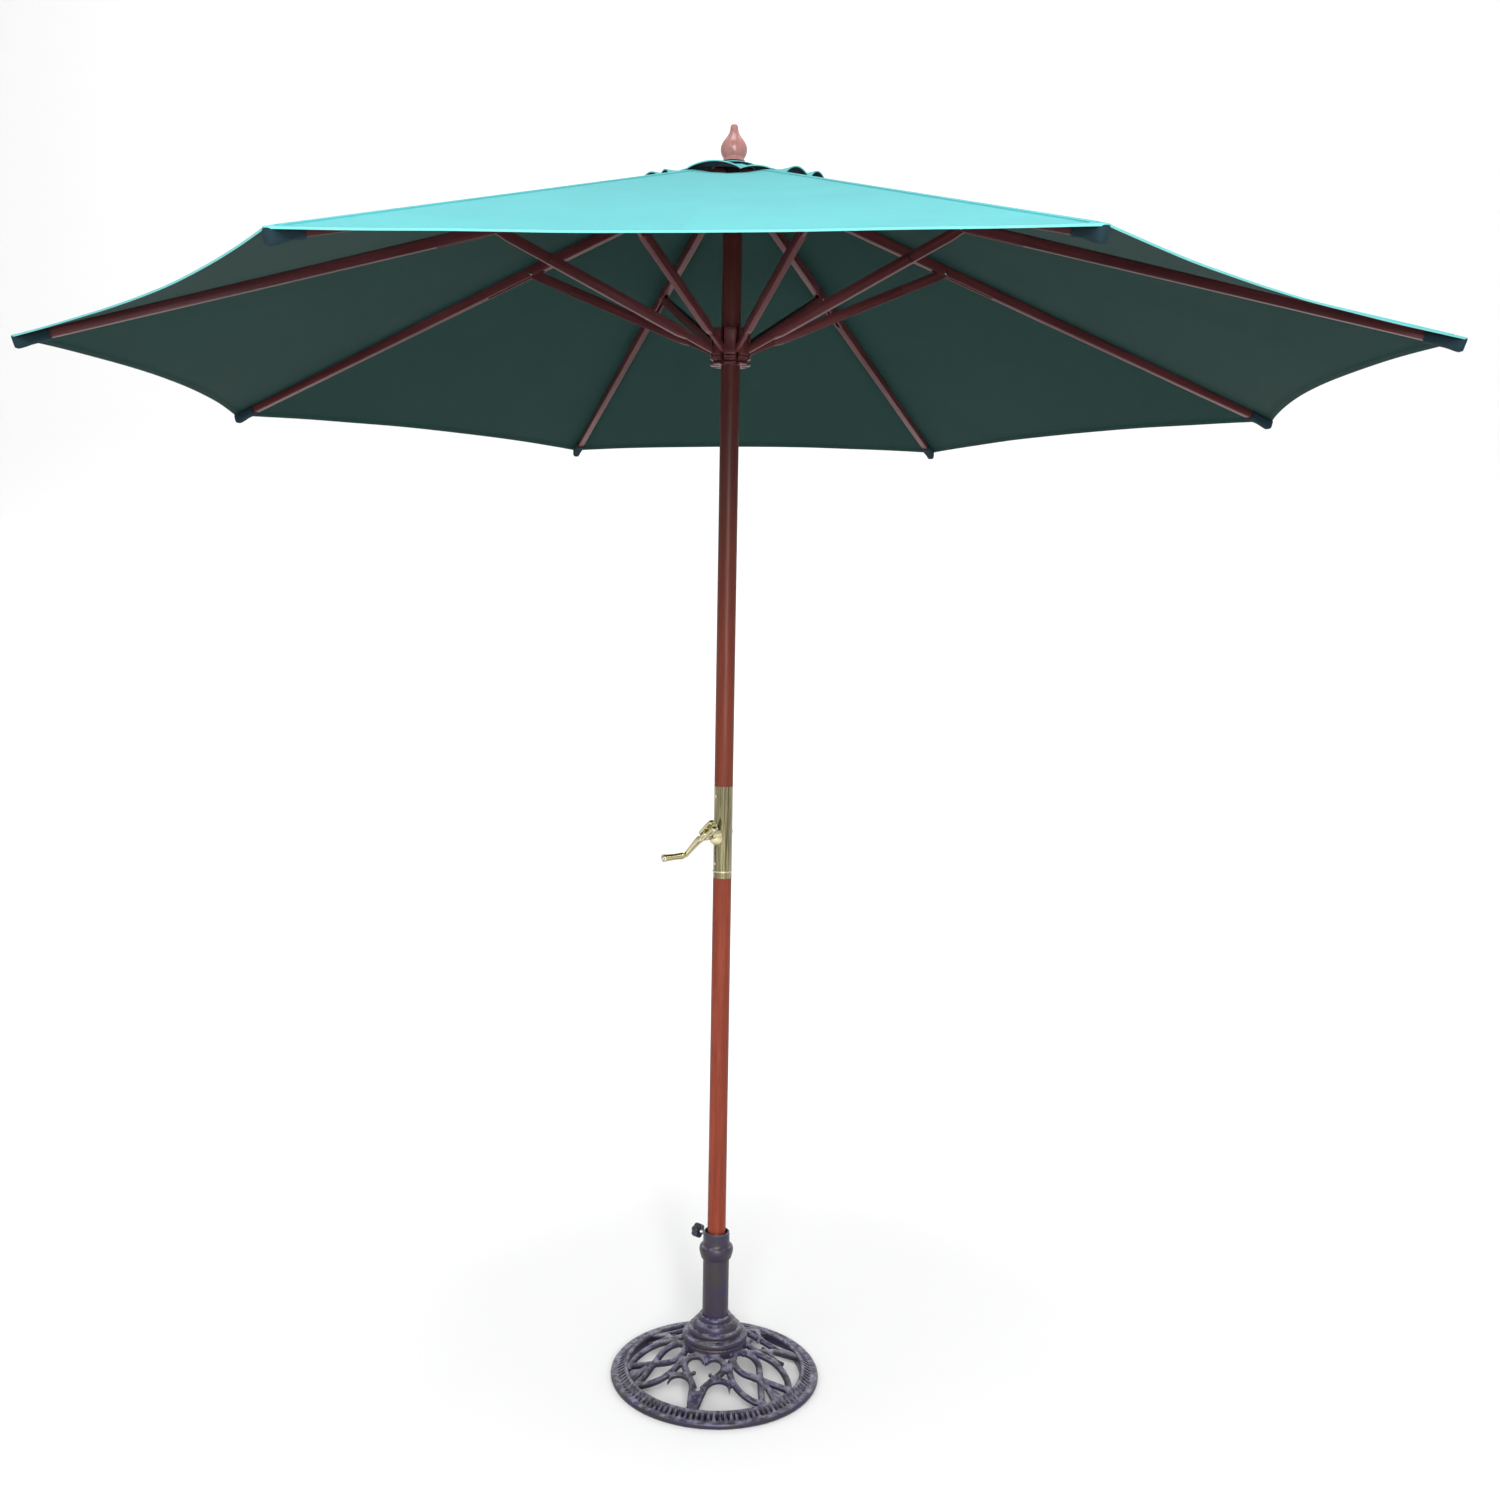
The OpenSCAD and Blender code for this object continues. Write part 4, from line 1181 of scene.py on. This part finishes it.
def make_knob(mats):
    """Six-lobed clamp knob, its levels given as (z, r) along the screw."""
    lobes, around = 6, 96
    levels = [(0.0430, 0.0105), (0.0438, 0.0131), (0.0455, 0.0148), (0.0490, 0.0155),
              (0.0540, 0.0155), (0.0572, 0.0148), (0.0588, 0.0133), (0.0596, 0.0110),
              (0.0600, 0.0070)]
    verts = [(0, 0, levels[0][0])]
    for z, r in levels:
        for a in angles(around):
            wave = 1 - 0.16 * (0.5 - 0.5 * math.cos(lobes * a)) ** 1.4
            verts.append((r * wave * math.cos(a), r * wave * math.sin(a), z))
    last = len(verts)
    verts.append((0, 0, levels[-1][0] + 0.0002))
    faces = tube_walls(len(levels) - 1, around, first=1)
    for k in range(around):
        n = (k + 1) % around
        faces += [(0, 1 + n, 1 + k), (last, last - around + k, last - around + n)]
    knob = new_piece("clamp_knob_moulded", verts, faces, [mats["black_plastic"]])
    fix_normals(knob)
    sharpen(knob, 50)
    knob.matrix_world = joint_frame("clamp_turn")
    own(knob, "clamp", ["clamp_knob"])


def make_screw(mats):
    """The clamp's screw, its thread running out at both ends."""
    start, end, pitch, radius, thread = 0.0195, 0.0460, 0.00125, 0.0040, 0.00065
    around, per_turn = 32, 8
    rows = int(round((end - start) / pitch)) * per_turn
    verts = []
    for row in range(rows + 1):
        z = start + (end - start) * row / rows
        fade = min(1.0, row / per_turn, (rows - row) / per_turn)
        for k, a in enumerate(angles(around)):
            depth = abs(((z - start) / pitch - k / around) % 1.0 * 2 - 1)
            r = radius - thread * depth * fade
            verts.append((r * math.cos(a), r * math.sin(a), z))
    faces = tube_walls(rows, around, caps=True)
    screw = new_piece("clamp_screw_threaded", verts, faces, [mats["steel"]])
    sharpen(screw, 60)
    screw.matrix_world = joint_frame("clamp_turn")
    own(screw, "clamp", ["clamp_screw"])


# ---------------------------------------------------------------- crank


def make_housing(shaft, mats):
    """The boss round the crank's shaft, and the half cup that runs from it down the sleeve."""
    brass = [mats["brass"]]
    centre, up = Vector(JOINTS["crank_turn"]["pos_m"]), Vector((0, 0, 1))
    outline = smooth_outline([
        (0.0066, 0.0200), (0.0066, 0.0200), (0.0135, 0.0150), (0.0138, 0.0190), (0.0134, 0.0240),
        (0.0130, 0.0300), (0.0131, 0.0352), (0.0124, 0.0361), (0.0110, 0.0360),
        (0.0098, 0.0352), (0.0092, 0.0335), (0.0090, 0.0230), (0.0066, 0.0222),
        (0.0066, 0.0200)], 4)
    boss = lathe("boss", outline, brass, 64, axes(up, shaft.cross(up), shaft, centre),
                 closed=True)
    rows, columns, top, deep = 14, 25, -0.0068, 0.0200
    back, forward, half_width = 0.0130, 0.0224, 0.0134
    verts = []
    for k in range(rows + 1):
        shrink = math.cos(math.pi / 2 * k / rows) ** 0.8
        z = top - deep * math.sin(math.pi / 2 * k / rows)
        for a in range(columns):
            u = math.pi * (a / (columns - 1) - 0.5)
            verts.append((back + forward * math.cos(u) * shrink,
                          half_width * math.sin(u) * shrink, z))
    faces = tube_walls(rows, columns) + [tuple(range(columns - 1, -1, -1))]
    cup = new_piece("cup", verts, faces, brass)
    fix_normals(cup)
    sharpen(cup, 50)
    cup.matrix_world = axes(shaft, up.cross(shaft), up, centre)
    bpy.context.view_layer.update()
    own(join("crank_housing_cast", [boss, cup]), "pole", ["crank_housing"])


def make_fork(swing, mats):
    """Forked end of the shaft with two drilled cheeks, and the riveted pin of the handle."""
    brass, steel = [mats["brass"]], [mats["steel"]]
    outline = [(-0.0085, -0.0100), (0.0040, -0.0102), (0.0072, -0.0070), (0.0076, 0.0),
               (0.0076, 0.0290), (0.0060, 0.0340), (0.0010, 0.0360), (-0.0050, 0.0355),
               (-0.0085, 0.0330)]
    cheek, half_gap = 0.0064, 0.0046
    parts = []
    for side in (-1, 1):
        place = swing @ shift(0, side * (half_gap + cheek / 2), 0)
        plate = bar("cheek", outline, cheek, brass, place)
        for z in (0.013, 0.030):
            drill(plate, 0.0024, swing @ shift(0.001, 0.02, z) @ turn("X", math.pi / 2), 0.04)
        parts.append(plate)
    back = [(-0.0085, -0.0100), (-0.0055, -0.0100), (-0.0055, 0.0345), (-0.0085, 0.0330)]
    parts.append(bar("fork_back", back, 0.0210, brass, swing, 0.0006))
    parts.append(cylinder("fork_neck", 0.0080, 0.0065, brass,
                          swing @ shift(-0.0120, 0, 0) @ turn("Y", math.pi / 2), 48, 0.0008))
    own(join("crank_fork", parts), "crank", ["crank_clevis"])
    pins = [cylinder("fork_pin", 0.0020, 0.0230, steel,
                     swing @ shift(0, 0.0115, 0) @ turn("X", math.pi / 2), 24)]
    for side in (-1, 1):
        place = swing @ shift(0, side * 0.0108, 0) @ turn("X", -side * math.pi / 2)
        pins.append(cylinder("fork_pin_head", 0.0034, 0.0018, steel, place, 24, 0.0007))
    own(join("fork_pin_riveted", pins), "crank", ["clevis_pin"])


def make_arm(swing, arm_l, mats):
    """The handle's arm: an eye at the pin, a waist, a taper down to the grip's eye."""
    rows, ring, top, beyond = 40, 20, 0.0048, 0.0052
    verts = []
    for k in range(rows + 1):
        v = k / rows
        z = top - (arm_l + top + beyond) * v
        eye = math.sqrt(1 - (top * (1 - climb(v, 0, 1 / 16)) / beyond) ** 2)
        end = min(1.0, math.sqrt(1 - climb(v, 0.93, 0.07) ** 2) + 0.02)
        width = 0.0054 + 0.0036 * climb(v, 0.17, 0.06) * (1 - 0.95 * v)
        depth = 0.0042 + 0.0036 * climb(v, 0.178, 0.04) * (1 - 0.8 * v)
        bend = 0.0022 * math.sin(math.pi * min(1.0, v * 1.05))
        for a in angles(ring):
            c, s = math.cos(a), math.sin(a)
            q = (abs(c) ** 3 + abs(s) ** 3) ** (1 / 3)
            verts.append((c / q * width * eye * end + bend, s / q * depth * end, z))
    faces = tube_walls(rows, ring, caps=True)
    arm = new_piece("crank_arm_cast", verts, faces, [mats["brass"]])
    fix_normals(arm)
    arm.matrix_world = swing
    own(arm, "handle", ["crank_arm"])


def make_grip(place, mats):
    """The grip that spins on its rivet, at the end of the arm."""
    grip = smooth_outline([
        (0.0026, 0.0066), (0.0026, 0.0066), (0.0058, 0.0066), (0.0070, 0.0074),
        (0.0077, 0.0104), (0.0073, 0.0180), (0.0071, 0.0300), (0.0075, 0.0440),
        (0.0081, 0.0540), (0.0083, 0.0575), (0.0076, 0.0598), (0.0056, 0.0604),
        (0.0026, 0.0604), (0.0026, 0.0604)], 4)
    own(lathe("crank_grip_turned", grip, [mats["brass"]], 48, place, closed=True), "grip",
        ["crank_grip"])
    rivet = [(0.0, -0.001), (0.0022, -0.001), (0.0025, -0.0006), (0.0025, 0.0606),
             (0.0042, 0.0607), (0.0045, 0.0612), (0.0040, 0.0624), (0.0020, 0.0630), (0, 0.0631)]
    own(lathe("grip_rivet_turned", rivet, [mats["steel"]], 32, place), "handle",
        ["grip_rivet"])


def make_crank(mats):
    """The crank, from its boss on the sleeve to the grip."""
    hinge = JOINTS["handle_fold"]
    pivot = Vector(hinge["pos_m"])
    shaft = Vector(JOINTS["crank_turn"]["axis"]).normalized()
    reach = Vector(JOINTS["grip_spin"]["pos_m"]) - pivot
    # Frame of the handle: X along the shaft, Z opposite the arm, origin at the fold pin.
    swing = axes(shaft, -Vector(hinge["axis"]).normalized(), -reach.normalized(), pivot)
    make_housing(shaft, mats)
    make_fork(swing, mats)
    make_arm(swing, reach.length, mats)
    make_grip(swing @ shift(0, 0, -reach.length) @ turn("Y", math.pi / 2), mats)


# ---------------------------------------------------------------- plain CAD nodes


def dress_nodes(mats):
    """Gives the CAD nodes that stay visible as they are their finish."""
    finishes = {
        "pole_lower": ["lower_pole"],
        "pole_upper_painted_shade": ["upper_pole"],
        "turned_wood": ["crown_washer"],
        "sleeve_brass_painted_reflections": ["brass_sleeve"],
        "brass": ["sleeve_ring", "sleeve_screws", "shaft_bushes", "hub_pins"],
        "steel": ["column_plug", "column_bolt", "crank_shaft", "pulley_pin", "finial_stud"],
        "black_plastic": ["socket_bush", "cord_spool", "cord_pulley"],
        "iron_tube": ["base_column"],
        "cord": ["lift_cord"],
    }
    for material, nodes in finishes.items():
        for node in nodes:
            data = frame["nodes"][node].data
            data.materials.clear()
            data.materials.append(mats[material])


make_camera()
make_stage()
materials = make_materials()
for number in range(1, RIBS + 1):
    make_rib(number, materials)
    make_strut(number, materials)
    make_tip_pocket(number, materials)
    make_panel(number, materials)
    make_flap(number, materials)
make_crown(materials)
make_hub_and_runner(materials)
make_finial(materials)
make_scrolls(materials)
make_ring(materials)
make_column(materials)
make_knob(materials)
make_screw(materials)
make_crank(materials)
dress_nodes(materials)
